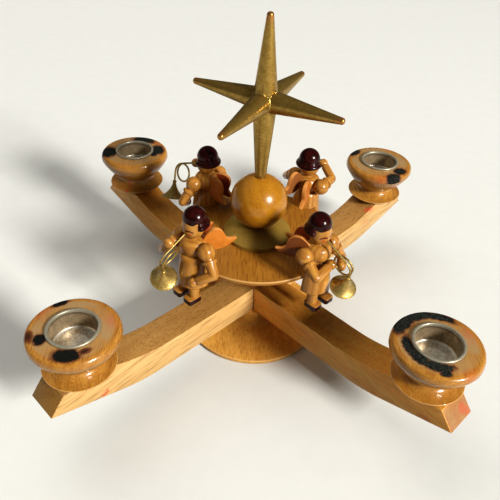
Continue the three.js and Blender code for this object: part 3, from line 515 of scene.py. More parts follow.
# Gold disc: a low turned collar under the ball, painted in bronze-gold that has dulled to
# olive. It lies on the plate round the spigot.
DISC_RADIUS = 18.8
DISC_EDGE = 2
DISC_SEAT = 7
brushed, given, wanted = shader_group("brushed_metal", {"Coarse": 1}, ("Streak", "Height"))
swept = vector(brushed, "SCALE", given["Place"], Scale=given["Coarse"])
streaks = noise(brushed, swept, (0.7, 0.7, 1.3), 3, 0.6)
blotches = noise(brushed, swept, (0.25, 0.25, 0.2), 3, 0.55)
mixed = calc(brushed, "ADD", calc(brushed, "MULTIPLY", streaks, 0.6),
             calc(brushed, "MULTIPLY", blotches, 0.4))
brushed.links.new(ramp(brushed, mixed, 0.3, 0.7), wanted["Streak"])
brushed.links.new(streaks, wanted["Height"])


def metal(name, dull, bright, metallic, gloss, coarse=1, strength=0.25, paint=None):
    """Brushed or painted metal. A paint function may lay more over its colour."""
    made, tree, shader = plain_material(name)
    place = own_place(tree)
    marks = use(tree, brushed, {"Place": place, "Coarse": coarse})
    hue = blend(tree, marks["Streak"], dull, bright)
    if paint:
        hue = paint(tree, hue, place, marks["Streak"])
    rough = ramp(tree, marks["Streak"], 0, 1, *gloss)
    feed(tree, shader, {"Base Color": hue, "Roughness": rough, "Metallic": metallic})
    bumped(tree, shader, marks["Height"], strength)
    return made


disc_paint = metal("disc_paint", 0x977A2D, 0xA38640, 0.3, (0.6, 0.48))
disc = turned(drawn(
    (SPIGOT_RADIUS + FIT, DISC_LOW), (DISC_RADIUS, DISC_LOW), (DISC_RADIUS, DISC_LOW + DISC_EDGE),
    (DISC_SEAT, DISC_TOP, (DISC_RADIUS + DISC_SEAT) / 2, DISC_TOP),
    (SPIGOT_RADIUS + FIT, DISC_TOP), (SPIGOT_RADIUS + FIT, DISC_LOW),
))
piece(disc, "painted_disc", disc_paint, "gold_disc")

# Ball: turned beech, stained honey and lacquered until it shines. It is bored from below
# for the spigot, on which it sits, and from above for the star's tenon.
STAR_TENON_RADIUS = 2.4
STAR_TENON = 9
BALL_TOP = BALL_HEIGHT + BALL_HALF


def round_line(radius, first, last, height=0, steps=40):
    """Points of an arc about the axis, from one angle above the level to another."""
    angles = [radians(first + (last - first) * i / steps) for i in range(steps + 1)]
    return [(radius * cos(a), height + radius * sin(a)) for a in angles]


flat_angle = degrees(asin(BALL_HALF / BALL_RADIUS))
ball = turned([
    (0, SPIGOT_TOP + FIT), (SPIGOT_RADIUS + FIT, SPIGOT_TOP + FIT),
    (SPIGOT_RADIUS + FIT, BALL_HEIGHT - BALL_HALF),
    *round_line(BALL_RADIUS, -flat_angle, flat_angle, BALL_HEIGHT),
    (STAR_TENON_RADIUS + FIT, BALL_TOP), (STAR_TENON_RADIUS + FIT, BALL_TOP - STAR_TENON - FIT),
    (0, BALL_TOP - STAR_TENON - FIT),
])
ball_wood = wood("ball_wood", 0xB78224, 0x9A6312, 0x744409, turn=(20, 35, 0), ring=5,
                 fleck=(3, 0.5, 0.4), gloss=(0.24, 0.34), coat=0.45)
piece(ball, "turned_ball", ball_wood, "ball", sharp=60)

# Star: a turned spindle and four cones mitred round it, glued and painted bronze-gold, with
# the paint worn to copper at the tips. Lumpy glue fills the seams. Its tenon turns in the ball.
STAR_STEM = 43.1
STAR_TOP = 41.5
STAR_RAY = 41.9
STAR_WAIST = 6.3
STEM_RADIUS = 2.9
RAY_ROOT = 6.1
TIP_RADIUS = 1.7
STAR_TURN = 60.75
STAR_SIDES = 64
TIP_COPPER = 0xB47A44
WORN_FROM = 42
WORN_BARE = 54
WORN_RAGGED = 16
SEAM_HEIGHT = 4.55
SEAM_RISE = 0.95
SEAM_LUMPS = 0.2
COLLAR_SINK = 0.45
MITRE_SINK = 0.1
MITRE_STRETCH = 1.27
GLUE_BEAD = 0.48
# degrees by which each ray hangs, as glued
RAY_DROOPS = (0, 0, 3.6, 0)
star_place = Matrix.Translation((0, 0, BALL_TOP + STAR_STEM)) @ about("Z", STAR_TURN)


def worn_tip(tree, hue, place, streak):
    """Paint function for a tip that is rubbed down to copper."""
    ragged = calc(tree, "MULTIPLY_ADD", noise(tree, place, (0.35, 0.35, 0.12), 3), WORN_RAGGED,
                  coordinate(tree, place))
    return blend(tree, ramp(tree, ragged, WORN_FROM, WORN_BARE), hue, TIP_COPPER)


def tip_line(length):
    """The rounded end of a ray."""
    return ((TIP_RADIUS, length - TIP_RADIUS), (0, length, TIP_RADIUS, length))


def close(bm):
    """Closes every open rim of a shape."""
    bmesh.ops.holes_fill(bm, edges=[edge for edge in bm.edges if edge.is_boundary])


def cut_off(bm, point, inwards):
    """Cuts a shape with a plane, drops the part outside and closes the cut."""
    bmesh.ops.bisect_plane(bm, geom=everything(bm), plane_co=point, plane_no=inwards,
                           clear_inner=True)
    close(bm)


def swept_ring(bm, bead, radius, height=0, sides=10, steps=96, gap=0):
    """Adds a round bead that is swept about the axis, but for a gap of some degrees to each
    side of the front, and tells its points."""
    before = set(bm.verts)
    section = bmesh.ops.create_circle(bm, radius=bead, segments=sides)["verts"]
    bmesh.ops.rotate(bm, verts=section, matrix=about("X", 90))
    bmesh.ops.translate(bm, verts=section, vec=(radius, 0, height))
    bmesh.ops.rotate(bm, verts=section, matrix=about("Z", gap))
    edges = list({edge for vert in section for edge in vert.link_edges})
    bmesh.ops.spin(bm, geom=section + edges, cent=(0, 0, 0), axis=(0, 0, 1), steps=steps,
                   angle=radians(360 - 2 * gap), use_merge=not gap)
    return [vert for vert in bm.verts if vert not in before]


star_paint = metal("star_paint", 0x896D2E, 0xAD8E4D, 0.8, (0.38, 0.28), coarse=0.8,
                   paint=worn_tip)
spindle = turned(drawn(
    (0, -STAR_STEM - STAR_TENON), (STAR_TENON_RADIUS, -STAR_STEM - STAR_TENON),
    (STAR_TENON_RADIUS, -STAR_STEM + SEAT_GAP), (STEM_RADIUS, -STAR_STEM + SEAT_GAP),
    (STAR_WAIST, 0), *tip_line(STAR_TOP),
), STAR_SIDES)
piece(spindle, "star_stem", star_paint, "star_spindle", "star", star_place)
for number, droop in enumerate(RAY_DROOPS):
    ray = turned(drawn((0, 0), (RAY_ROOT, 0), *tip_line(STAR_RAY)), STAR_SIDES)
    bmesh.ops.rotate(ray, verts=ray.verts, matrix=about("Y", 90 + droop))
    for side in (-1, 1):
        cut_off(ray, (FIT, 0, 0), (1, side, 0))
    piece(ray, f"star_cone_{number + 1}", star_paint, f"star_ray_{number + 1}",
          "star", star_place @ about("Z", 90 * number))
seams = bmesh.new()
for side in (-1, 1):
    for vert in swept_ring(seams, GLUE_BEAD, STAR_WAIST - COLLAR_SINK):
        around = atan2(vert.co.y, vert.co.x)
        vert.co.z += side * (SEAM_HEIGHT + SEAM_RISE * cos(4 * around)
                             + SEAM_LUMPS * sin(11 * around + side))
    mitre = swept_ring(seams, GLUE_BEAD, RAY_ROOT - MITRE_SINK)
    bmesh.ops.scale(seams, verts=mitre, vec=(MITRE_STRETCH, 1, 1))
    bmesh.ops.rotate(seams, verts=mitre, matrix=about("Z", 45 * side) @ about("X", 90))
glue_paint = metal("glue_paint", 0xA7883E, 0xD5BC71, 0.8, (0.36, 0.24), coarse=2, strength=0.8)
piece(seams, "star_glue", glue_paint, None, "star", star_place)

# Candle cups: a sharp foot, a neck and a wide bowl turned in one, lacquered beech. Each has
# a tenon in its beam. Candles have scorched the tops and red wax has left stains.
CUP_FOOT_RADIUS = 18.1
CUP_FOOT_EDGE = 4.4
CUP_FOOT_UNDERCUT = 4.9
CUP_FOOT_SLOPE = 1.2
CUP_FOOT_EASE = 0.6
CUP_NECK = 10.8
CUP_NECK_HEIGHT = 9
CUP_BELLY_RADIUS = 18.5
CUP_BELLY_HEIGHT = 15
CUP_RADIUS = 22
CUP_WIDEST = 22.8
CUP_HEIGHT = 26.9
CUP_RIM = CUP_HEIGHT - 0.3
CUP_EASE = 2.4
CUP_TENON_RADIUS = 4
CUP_TENON = 7
LINER_BORE = 11
LINER_WALL = 0.6
LINER_OUTER = LINER_BORE + LINER_WALL
LINER_LEDGE = CUP_HEIGHT + SEAT_GAP
LINER_TOP = LINER_LEDGE + 1.1
LINER_FLOOR = LINER_TOP - 11
CUP_BORE = LINER_OUTER + FIT
CUP_BORE_FLOOR = LINER_FLOOR - LINER_WALL - FIT
CHAR = 0x0C0B08
ASH = 0x353A31
TOAST = 0x5D240C
WORN_TOP = 0xA18359
NO_MARK = -9
BURN, SCORCH, WAX = range(3)
# per cup: marks as (angle, from the axis, half length round, half width, kind)
CUP_MARKS = (
    ((143, 19.4, 5, 2.8, BURN), (-72, 20.6, 4.6, 3.6, BURN), (-46, 16.8, 4.4, 3.6, BURN),
     (60, 19, 5, 2, WAX), (-95, 21.5, 6, 4, WAX)),
    ((-170, 17, 6.4, 5.2, BURN), (76, 16.8, 7.6, 4, BURN), (10, 15.6, 6, 3.8, BURN),
     (-12, 14, 3.4, 2, BURN), (44, 18.5, 5, 2, WAX)),
    ((122, 19.3, 3.8, 1.8, BURN), (-151, 14.9, 3.2, 2.9, BURN), (-163, 19.4, 3.4, 2, SCORCH),
     (-87, 16, 6, 3.6, BURN), (-58, 15.4, 3, 1.6, SCORCH), (20, 17, 6, 3, WAX),
     (150, 19, 6, 2.5, WAX)),
    ((138, 18.6, 8, 3.4, BURN), (108, 18.6, 9, 3, BURN), (76, 18, 8, 2.4, BURN),
     (-170, 14.8, 6.5, 2.2, BURN), (-138, 14.6, 7, 2.4, BURN), (-104, 14.8, 7, 2.6, BURN),
     (-93, 18, 2.6, 1.6, BURN), (20, 17, 6, 3.2, WAX), (-60, 20, 5, 3, WAX)),
)
# per cup: share of ash on its burns, and runs of wax as (start, end, half width, share)
CUP_ASH = (0.6, 0.6, 0.1, 1)
CUP_DRIPS = (
    (((11.5, -17, 18.5), (8, -19, 17), 2, 0.55),),
    (((-5.4, -19.8, 20.5), (-2.9, -10.6, 9), 0.9, 0.6),
     ((-2.9, -11, 8), (-4.7, -17.4, 4.6), 1.1, 0.6)),
    (),
    (),
)
patch, given, wanted = shader_group(
    "round_mark", {"Angle": 0, "Reach": 15, "Half Length": 4, "Half Width": 2}, ("Field",))
at = put(patch, "ShaderNodeSeparateXYZ", {0: given["Place"]}).outputs
bearing = calc(patch, "SUBTRACT", calc(patch, "ARCTAN2", at["Y"], at["X"]), given["Angle"])
bearing = calc(patch, "WRAP", bearing, -pi, pi)
run = calc(patch, "DIVIDE", calc(patch, "MULTIPLY", bearing, given["Reach"]), given["Half Length"])
across = calc(patch, "SUBTRACT", from_axis(patch, given["Place"]), given["Reach"])
across = calc(patch, "DIVIDE", across, given["Half Width"])
far = vector(patch, "LENGTH", combined(patch, run, across))
ragged = noise(patch, given["Place"], (0.45,) * 3, 3, 0.6)
ragged = calc(patch, "MULTIPLY_ADD", ragged, 0.8, -0.4)
field = calc(patch, "ADD", calc(patch, "SUBTRACT", 1, far), ragged)
upper = ramp(patch, at["Z"], CUP_WIDEST - 4, CUP_WIDEST)
low = calc(patch, "MULTIPLY", calc(patch, "SUBTRACT", 1, upper), -4)
patch.links.new(calc(patch, "ADD", field, low), wanted["Field"])


def marked(marks, ash, drips):
    """Paint function for one cup: its worn top, a painted highlight on the foot's edge, wax and
    burns.
    """
    def paint(tree, hue, rough):
        # a painted highlight along the edge of the cup's foot
        hue = highlit_rim(CUP_FOOT_RADIUS, CUP_FOOT_EDGE)(tree, hue, rough)[0]
        place = own_place(tree)
        worn = ramp(tree, noise(tree, place, (0.1,) * 3), 0.3, 0.65, 0.3, 0.95)
        worn = calc(tree, "MULTIPLY", worn, ramp(tree, from_axis(tree, place), 19.4, 17.6))
        near_top = ramp(tree, coordinate(tree, place), CUP_RIM - 1, CUP_RIM - 0.2)
        hue = blend(tree, calc(tree, "MULTIPLY", worn, near_top), hue, WORN_TOP)
        fields = [NO_MARK, NO_MARK, NO_MARK]
        for angle, reach, half_length, half_width, kind in marks:
            spot = use(tree, patch, {"Place": place, "Angle": radians(angle), "Reach": reach,
                                     "Half Length": half_length, "Half Width": half_width})
            fields[kind] = calc(tree, "MAXIMUM", fields[kind], spot["Field"])
        hue = blend(tree, ramp(tree, fields[WAX], -0.5, 1.2, 0, 0.3), hue, WAX_RED)
        hue = waxed(tree, hue, place, drips)
        brown = calc(tree, "MAXIMUM", fields[BURN], fields[SCORCH])
        hue = blend(tree, ramp(tree, brown, -0.5, 0.1, 0, 0.85), hue, TOAST)
        hue = blend(tree, ramp(tree, fields[SCORCH], 0.1, 0.7, 0, 0.7), hue, CHAR)
        burnt = ramp(tree, fields[BURN], -0.12, 0.16)
        speck = ramp(tree, noise(tree, place, (1.3,) * 3, 3), 0.4, 0.7, 0, ash)
        hue = blend(tree, burnt, hue, blend(tree, speck, CHAR, ASH))
        dull = calc(tree, "MULTIPLY_ADD", burnt, 0.6, rough, clamp=True)
        return hue, dull, burnt
    return paint


foot_low = CUP_FOOT_RADIUS - CUP_FOOT_UNDERCUT
cup_line = drawn(
    (0, -CUP_TENON), (CUP_TENON_RADIUS, -CUP_TENON), (CUP_TENON_RADIUS, SEAT_GAP),
    (foot_low - CUP_FOOT_EASE, SEAT_GAP),
    (foot_low + CUP_FOOT_EASE, SEAT_GAP + CUP_FOOT_EASE, foot_low, SEAT_GAP),
    (CUP_FOOT_RADIUS - CUP_FOOT_EASE, CUP_FOOT_EDGE - CUP_FOOT_EASE),
    (CUP_FOOT_RADIUS - CUP_FOOT_EASE, CUP_FOOT_EDGE + CUP_FOOT_EASE / 6,
     CUP_FOOT_RADIUS, CUP_FOOT_EDGE),
    (CUP_NECK, CUP_NECK_HEIGHT, CUP_NECK, CUP_FOOT_EDGE + CUP_FOOT_SLOPE),
    (CUP_RADIUS, CUP_WIDEST, CUP_BELLY_RADIUS, CUP_BELLY_HEIGHT),
    (CUP_RADIUS - CUP_EASE, CUP_RIM, CUP_RADIUS, CUP_RIM),
    (CUP_BORE, CUP_HEIGHT), (CUP_BORE, CUP_BORE_FLOOR), (0, CUP_BORE_FLOOR),
)
corners = [about("Z", 45 + 90 * i) @ Vector((CUP_REACH, 0, CUP_SEAT)) for i in range(4)]
for number, (corner, *soiling) in enumerate(zip(corners, CUP_MARKS, CUP_ASH, CUP_DRIPS), 1):
    cup_wood = wood(f"cup_wood_{number}", 0xC69444, 0x925B19, 0x6C3A14,
                    turn=(-90, 0, 30 + 50 * number), shift=(7 * number, 0, 40 * number),
                    ring=4.5, ring_share=0.2, wavy=1.3, fleck=(8, 0.4, 0.5), gloss=(0.24, 0.36),
                    coat=0.7, paint=marked(*soiling))
    piece(turned(cup_line), f"turned_cup_{number}", cup_wood,
          f"candle_cup_{number}", place=Matrix.Translation(corner))

# Liners: pans pressed from thin tinned sheet, with a rolled flange that hangs on the cup's
# top. They lift out for cleaning, and are dull and scratched inside.
LINER_FLANGE = LINER_OUTER + 1
LINER_UNDERSIDE = LINER_FLOOR - LINER_WALL
LINER_CORNER = 1.4
LINER_SIDES = 80
FLOOR_RING = 6.2
LIP_LOW = LINER_TOP - 1.3
# colour of a line of painted shade below the liner's lip
LIP_SHADE = 0x1E1A19


def tin_shades(tree, wall, place, streak):
    """Paint function for a pan: a floor painted bright where light falls, a pale lip, and a line
    of painted shade below the lip.
    """
    height = coordinate(tree, place)
    # painted light: the floor is made bright, nearly white
    lit_floor_hue = blend(tree, streak, 0xCBBAA0, 0xFFFFF5)
    lip_hue = blend(tree, streak, 0x928C77, 0xB5AD97)
    hue = blend(tree, ramp(tree, height, LINER_FLOOR + 1.2, LINER_FLOOR + 0.2), wall, lit_floor_hue)
    # painted shade: a dark band just below the lip
    shade = ramp(tree, height, LIP_LOW - 1.6, LIP_LOW - 0.4, 0, 0.55)
    hue = blend(tree, shade, hue, LIP_SHADE)
    return blend(tree, ramp(tree, height, LIP_LOW - 0.25, LIP_LOW + 0.15), hue, lip_hue)


tin = metal("dull_tin", 0x827057, 0xAE9A7B, 0.5, (0.46, 0.3), coarse=1.4, strength=0.35,
            paint=tin_shades)
liner_line = drawn(
    (0, LINER_UNDERSIDE), (LINER_OUTER - LINER_CORNER, LINER_UNDERSIDE),
    (LINER_OUTER, LINER_UNDERSIDE + LINER_CORNER, LINER_OUTER, LINER_UNDERSIDE),
    (LINER_OUTER, LINER_LEDGE), (LINER_FLANGE - 0.1, LINER_LEDGE),
    (LINER_FLANGE, LINER_LEDGE + 0.4, LINER_FLANGE, LINER_LEDGE),
    (LINER_OUTER, LINER_TOP, LINER_FLANGE, LINER_TOP),
    (LINER_BORE, LIP_LOW, LINER_BORE, LINER_TOP), (LINER_BORE, LINER_FLOOR + LINER_CORNER),
    (LINER_BORE - LINER_CORNER, LINER_FLOOR, LINER_BORE, LINER_FLOOR),
    (FLOOR_RING + 0.5, LINER_FLOOR),
    (FLOOR_RING - 0.5, LINER_FLOOR + 0.3, FLOOR_RING, LINER_FLOOR + 0.3), (0, LINER_FLOOR),
)
for number, corner in enumerate(corners, 1):
    piece(turned(liner_line, LINER_SIDES), f"tin_liner_{number}", tin,
          f"candle_liner_{number}", f"liner_{number}", Matrix.Translation(corner), sharp=50)

# Angels' bodies: skirt, waist, chest and neck turned in one from pale beech, satin
# lacquered. A step is cut in the back of the skirt, which is glued on the plate's edge.
HEM_DROP = 8.6
HEM_RADIUS = 9.1
HEM_EASE = 0.4
SKIRT_TOP = 8.9
SKIRT_TOP_RADIUS = 7.6
SKIRT_EASE = 3.2
WAIST_RADIUS = 5.2
WAIST_HEIGHT = 9.9
CHEST_RADIUS = 7.2
CHEST_HEIGHT = 14.2
CHEST_TOP = 19.1
NECK_RADIUS = 2.6
NECK_HEIGHT = 19.9
FIGURE_SIDES = 48
# each angel: degrees round the plate off its diagonal, and a step outwards, as glued
SEATS = ((3.5, 0.5), (0, -0.9), (-0.5, 1.7), (-2.3, 0.5))
reaches = [PLATE_RADIUS + 0.5 + out for turn, out in SEATS]
seats = [about("Z", 45 + 90 * i + turn) @ Matrix.Translation((reaches[i], 0, PLATE_TOP))
         for i, (turn, out) in enumerate(SEATS)]
body_line = drawn(
    (0, -HEM_DROP), (HEM_RADIUS - HEM_EASE, -HEM_DROP),
    (HEM_RADIUS, -HEM_DROP + HEM_EASE, HEM_RADIUS, -HEM_DROP),
    (SKIRT_TOP_RADIUS, SKIRT_TOP - SKIRT_EASE),
    (WAIST_RADIUS, WAIST_HEIGHT, SKIRT_TOP_RADIUS, SKIRT_TOP),
    (CHEST_RADIUS, CHEST_HEIGHT, CHEST_RADIUS, (WAIST_HEIGHT + CHEST_HEIGHT) / 2),
    (NECK_RADIUS, CHEST_TOP, CHEST_RADIUS, CHEST_TOP), (NECK_RADIUS, NECK_HEIGHT),
    (0, NECK_HEIGHT),
)


def figure_beech(name, ring_share=0.5, pores=0.35, gloss=(0.26, 0.36), paint=None):
    """The fine beech of the figures."""
    return wood(name, 0xCA9548, 0x976223, 0x794212, ring=2.6, wavy=0.5, ring_share=ring_share,
                fleck=(5, 0.42, pores), gloss=gloss, coat=0.3, paint=paint)


def figure_piece(bm, number, label, material, place, sharp=38):
    """Makes the finished object of one piece of an angel."""
    piece(bm, f"figure_{number}_{label}", material, f"angel_{number}_{label}",
          place=place, sharp=sharp)


def cut_step(bm, front, top):
    """Cuts the step for the plate out of the lower back of a body and closes the cut."""
    bmesh.ops.bisect_plane(bm, geom=everything(bm), plane_co=(0, 0, top), plane_no=(0, 0, 1))
    bmesh.ops.bisect_plane(bm, geom=everything(bm), plane_co=(front, 0, 0), plane_no=(1, 0, 0))
    centres = {face: face.calc_center_median() for face in bm.faces}
    gone = [face for face, centre in centres.items() if centre.x < front and centre.z < top]
    bmesh.ops.delete(bm, geom=gone, context="FACES")
    rim = [edge for edge in bm.edges if edge.is_boundary]
    level = {v for edge in rim for v in edge.verts if abs(v.co.z - top) < 1e-3}
    upright = {v for edge in rim for v in edge.verts if abs(v.co.x - front) < 1e-3}
    ridge = bm.edges.new(level & upright)
    for side in (level, upright):
        loop = [edge for edge in rim if set(edge.verts) <= side]
        bmesh.ops.edgeloop_fill(bm, edges=[ridge] + loop)
    bmesh.ops.recalc_face_normals(bm, faces=bm.faces)


figure_wood = figure_beech("figure_wood")
for number, (seat, reach) in enumerate(zip(seats, reaches), 1):
    figure = turned(body_line, FIGURE_SIDES)
    cut_step(figure, PLATE_RADIUS + FIT - reach, SEAT_GAP)
    figure_piece(figure, number, "body", figure_wood, seat)

# Heads: turned balls with a high forehead, glued on the neck. Brows, closed eyes and cheeks
# are painted on with a fine brush.
HEAD_RADIUS = 5.7
HEAD_FLAT = 0.6
HEAD_HEIGHT = NECK_HEIGHT + SEAT_GAP + HEAD_RADIUS - HEAD_FLAT
FOREHEAD_RADIUS = 5
FOREHEAD_HEIGHT = 5
CROWN_HEIGHT = 8
BROW_PAINT = 0x5D1A0D
CHEEK_PAINT = 0xC7431F
# strokes on the left half of the face: (start, end, half width)
BROW_STROKES = (((5.55, 0.9, 0.65), (4.95, 2.8, 1.1), 0.5),
                ((4.95, 2.8, 1.1), (3.85, 4.2, 0.5), 0.4))
CHEEK_STROKE = ((4.95, 2.6, -0.95), (4.7, 3.05, -0.85), 0.5)


def painted_face(tree, hue, rough):
    """Paint function that lays brows, eyes and cheeks over the wood of a head."""
    half = vector(tree, "ABSOLUTE", vector(tree, "MULTIPLY", own_place(tree), (0, 1, 0)))
    half = vector(tree, "MULTIPLY_ADD", own_place(tree), (1, 0, 1), half)
    for paint, strokes in ((CHEEK_PAINT, (CHEEK_STROKE,)), (BROW_PAINT, BROW_STROKES)):
        for run in strokes:
            hue = blend(tree, brushed_on(tree, half, *run), hue, paint)
    return hue, rough, None


face_wood = figure_beech("face_wood", 0.25, 0.2, (0.28, 0.36), painted_face)
chin = degrees(asin((HEAD_RADIUS - HEAD_FLAT) / HEAD_RADIUS))
head_line = [
    (0, HEAD_FLAT - HEAD_RADIUS),
    *round_line(HEAD_RADIUS, -chin, 0, steps=16),
    *drawn((HEAD_RADIUS, 0), (FOREHEAD_RADIUS, FOREHEAD_HEIGHT, HEAD_RADIUS, 2.8),
           (0, CROWN_HEIGHT, 4.4, CROWN_HEIGHT))[1:],
]
heads = [seat @ Matrix.Translation((0, 0, HEAD_HEIGHT)) for seat in seats]
for number, place in enumerate(heads, 1):
    figure_piece(turned(head_line, FIGURE_SIDES), number, "head", face_wood, place,
                 sharp=60)

# Hair: a dome over the crown with a scalloped fringe, and a thick roll of two strands
# round the back from temple to temple, carved and painted in glossy maroon-brown.
HAIR_RADIUS = HEAD_RADIUS + 0.9
HAIR_LIFT = 5.4
HAIR_BACK = 1
FRINGE_DROP = 0.8
FRINGE_WAVE = 0.9
CURL_RING = HAIR_RADIUS - 0.6
CURL_HEIGHT = HAIR_LIFT - 2.4
CURL_ENDS = 78
DOME_RADIUS = HAIR_RADIUS - 0.45
# strands of the roll and its core: outwards and up from its centre line, and radius
STRANDS = ((-0.2, 1.05, 0.95), (0.4, -0.75, 1.35), (-0.9, 0, 1.6))
HAIR_VOXEL = 0.17
HAIR_SMOOTHING = 2


def hair_shape():
    """Dome and roll in the head's frame. The dome is flattened below a fringe line that
    rises to a notch at each temple."""
    bm = bmesh.new()
    for out, up, radius in STRANDS:
        swept_ring(bm, radius, CURL_RING + out, up, 20, 40, CURL_ENDS)
        close(bm)
        for side in (-1, 1):
            tip = bmesh.ops.create_uvsphere(bm, u_segments=24, v_segments=16, radius=radius)
            bmesh.ops.translate(bm, verts=tip["verts"], vec=(CURL_RING + out, 0, up))
            bmesh.ops.rotate(bm, verts=tip["verts"], matrix=about("Z", side * CURL_ENDS))
    bmesh.ops.translate(bm, verts=bm.verts, vec=(-HAIR_BACK, 0, CURL_HEIGHT))
    dome_from = len(bm.verts)
    dome = bmesh.ops.create_uvsphere(bm, u_segments=48, v_segments=32, radius=DOME_RADIUS)
    bmesh.ops.translate(bm, verts=dome["verts"], vec=(-HAIR_BACK, 0, HAIR_LIFT))
    bm.verts.ensure_lookup_table()
    for vert in bm.verts[dome_from:]:
        angle = degrees(atan2(abs(vert.co.y), vert.co.x + HAIR_BACK))
        scallop = FRINGE_WAVE * exp(-((angle - 20) / 26) ** 2)
        notch = FRINGE_WAVE * exp(-((angle - 60) / 9) ** 2)
        vert.co.z = max(vert.co.z, HAIR_LIFT - FRINGE_DROP - scallop + notch)
    return bm


def fused(bm, voxel, smoothing):
    """One closed skin over shapes that run into each other."""
    rough = stood("hair_block", mesh_of(bm, "hair_block"))
    remesh = rough.modifiers.new("skin", "REMESH")
    remesh.mode = "VOXEL"
    remesh.voxel_size = voxel
    rough.modifiers.new("smooth", "SMOOTH").iterations = smoothing
    shown = rough.evaluated_get(bpy.context.evaluated_depsgraph_get())
    skin = bmesh.new()
    skin.from_mesh(shown.to_mesh())
    bpy.data.objects.remove(rough)
    return skin


maroon, tree, shader = plain_material("hair_paint")
place = own_place(tree)
thick = ramp(tree, noise(tree, place, (0.35,) * 3, 3), 0.35, 0.7)
rough = ramp(tree, noise(tree, place, (1.2,) * 3), 0.3, 0.7, 0.26, 0.36)
feed(tree, shader, {"Base Color": blend(tree, thick, 0x200605, 0x380D0A),
                    "Roughness": rough, "Coat Weight": 0.34, "Coat Roughness": 0.11,
                    "Specular IOR Level": 0.08})
hair = fused(hair_shape(), HAIR_VOXEL, HAIR_SMOOTHING)
for number, place in enumerate(heads, 1):
    figure_piece(hair.copy(), number, "hair", maroon, place, sharp=80)
hair.free()

# Horns: brass wire bent to a lead pipe, one loop and a tail, with a spun bell soldered on.
# The mouthpiece touches the lips, and the hands lie against the pipe.
MOUTH_DROP = radians(16.8)
WIRE_RADIUS = 0.55
HORN_LEAD = 13.8
LEAD_SLOPE = radians(13)
HORN_LOOP = 5.4
LOOP_TURN = pi / 2 - LEAD_SLOPE + 2 * pi
LOOP_STEPS = 72
LOOP_SIDE = 1.9 * LOOP_TURN / (2 * pi)
HORN_TAIL = 6.4
TAIL_PLUG = 0.5
BELL_LENGTH = 10
BELL_RADIUS = 7.2
BELL_THROAT = 2.6
BELL_SIDES = 64
# yaw, pitch and roll of each angel's horn, in degrees
HORN_TILTS = ((14, 8.5, 21), (3, 11, 18), (10, 17, -25), (2, 18.5, 8))
lips = HEAD_RADIUS + FIT
mouth = Vector((lips * cos(MOUTH_DROP), 0, HEAD_HEIGHT - lips * sin(MOUTH_DROP)))
lead_run = Vector((cos(LEAD_SLOPE), 0, -sin(LEAD_SLOPE)))
lead_end = lead_run * HORN_LEAD
loop_centre = lead_end + Vector((-sin(LEAD_SLOPE), 0, -cos(LEAD_SLOPE))) * HORN_LOOP
tail_end = loop_centre + Vector((HORN_LOOP, LOOP_SIDE, -HORN_TAIL))


def on_loop(share):
    """A point of the loop's centre line, from its start to its end."""
    angle = pi / 2 - LEAD_SLOPE - share * LOOP_TURN
    return loop_centre + Vector((HORN_LOOP * cos(angle), LOOP_SIDE * share,
                                 HORN_LOOP * sin(angle)))


def pull_out(bm, edges, move):
    """Draws a ring of edges out by a move and gives the new ring."""
    made = bmesh.ops.extrude_edge_only(bm, edges=edges)["geom"]
    verts = [item for item in made if isinstance(item, bmesh.types.BMVert)]
    bmesh.ops.translate(bm, verts=verts, vec=move)
    return [item for item in made
            if isinstance(item, bmesh.types.BMEdge) and set(item.verts) <= set(verts)]


def added(bm, other, place=Matrix()):
    """Adds another shape to a shape, at its place, and gives the shape."""
    bmesh.ops.transform(other, matrix=place, verts=other.verts)
    passing = mesh_of(other, "passing")
    bm.from_mesh(passing)
    bpy.data.meshes.remove(passing)
    return bm


def horn_shape():
    """The wire in one run, and the bell that its end is plugged into."""
    bm = bmesh.new()
    ring = bmesh.ops.create_circle(bm, radius=WIRE_RADIUS, segments=16)["verts"]
    facing = Vector((0, 0, 1)).rotation_difference(lead_run).to_matrix()
    bmesh.ops.rotate(bm, verts=ring, matrix=facing)
    edges = pull_out(bm, bm.edges[:], lead_end)
    swept = bmesh.ops.spin(
        bm, geom=edges, cent=loop_centre, axis=(0, 1, 0), angle=LOOP_TURN, steps=LOOP_STEPS,
        dvec=(0, LOOP_SIDE / LOOP_STEPS, 0))["geom_last"]
    edges = [item for item in swept if isinstance(item, bmesh.types.BMEdge)]
    pull_out(bm, edges, (0, 0, -HORN_TAIL - TAIL_PLUG))
    close(bm)
    bmesh.ops.recalc_face_normals(bm, faces=bm.faces)
    mark_place(bm)
    rim = -BELL_LENGTH
    bell = turned(drawn(
        (0, -BELL_THROAT), (BELL_RADIUS - 0.7, rim, 1.6, -6.6),
        (BELL_RADIUS - 0.35, rim, BELL_RADIUS - 0.5, rim),
        (BELL_RADIUS, rim + 0.3, BELL_RADIUS, rim),
        (BELL_RADIUS - 0.5, rim + 0.5, BELL_RADIUS - 0.1, rim + 0.55),
        (0.95, -0.9, 1.9, -6.2), (1.25, -0.6), (1.25, 0.1), (0.7, 0.5, 1.2, 0.5), (0, 0.5),
    ), BELL_SIDES)
    return added(bm, bell, Matrix.Translation(tail_end))


brass = metal("horn_brass", 0x80682A, 0xD5B874, 0.75, (0.52, 0.32), coarse=2.4, strength=1)
horns = [Matrix.Translation(mouth) @ about("X", roll) @ about("Y", pitch) @ about("Z", yaw)
         for yaw, pitch, roll in HORN_TILTS]
for number, (seat, horn) in enumerate(zip(seats, horns), 1):
    figure_piece(horn_shape(), number, "horn", brass, seat @ horn, sharp=45)

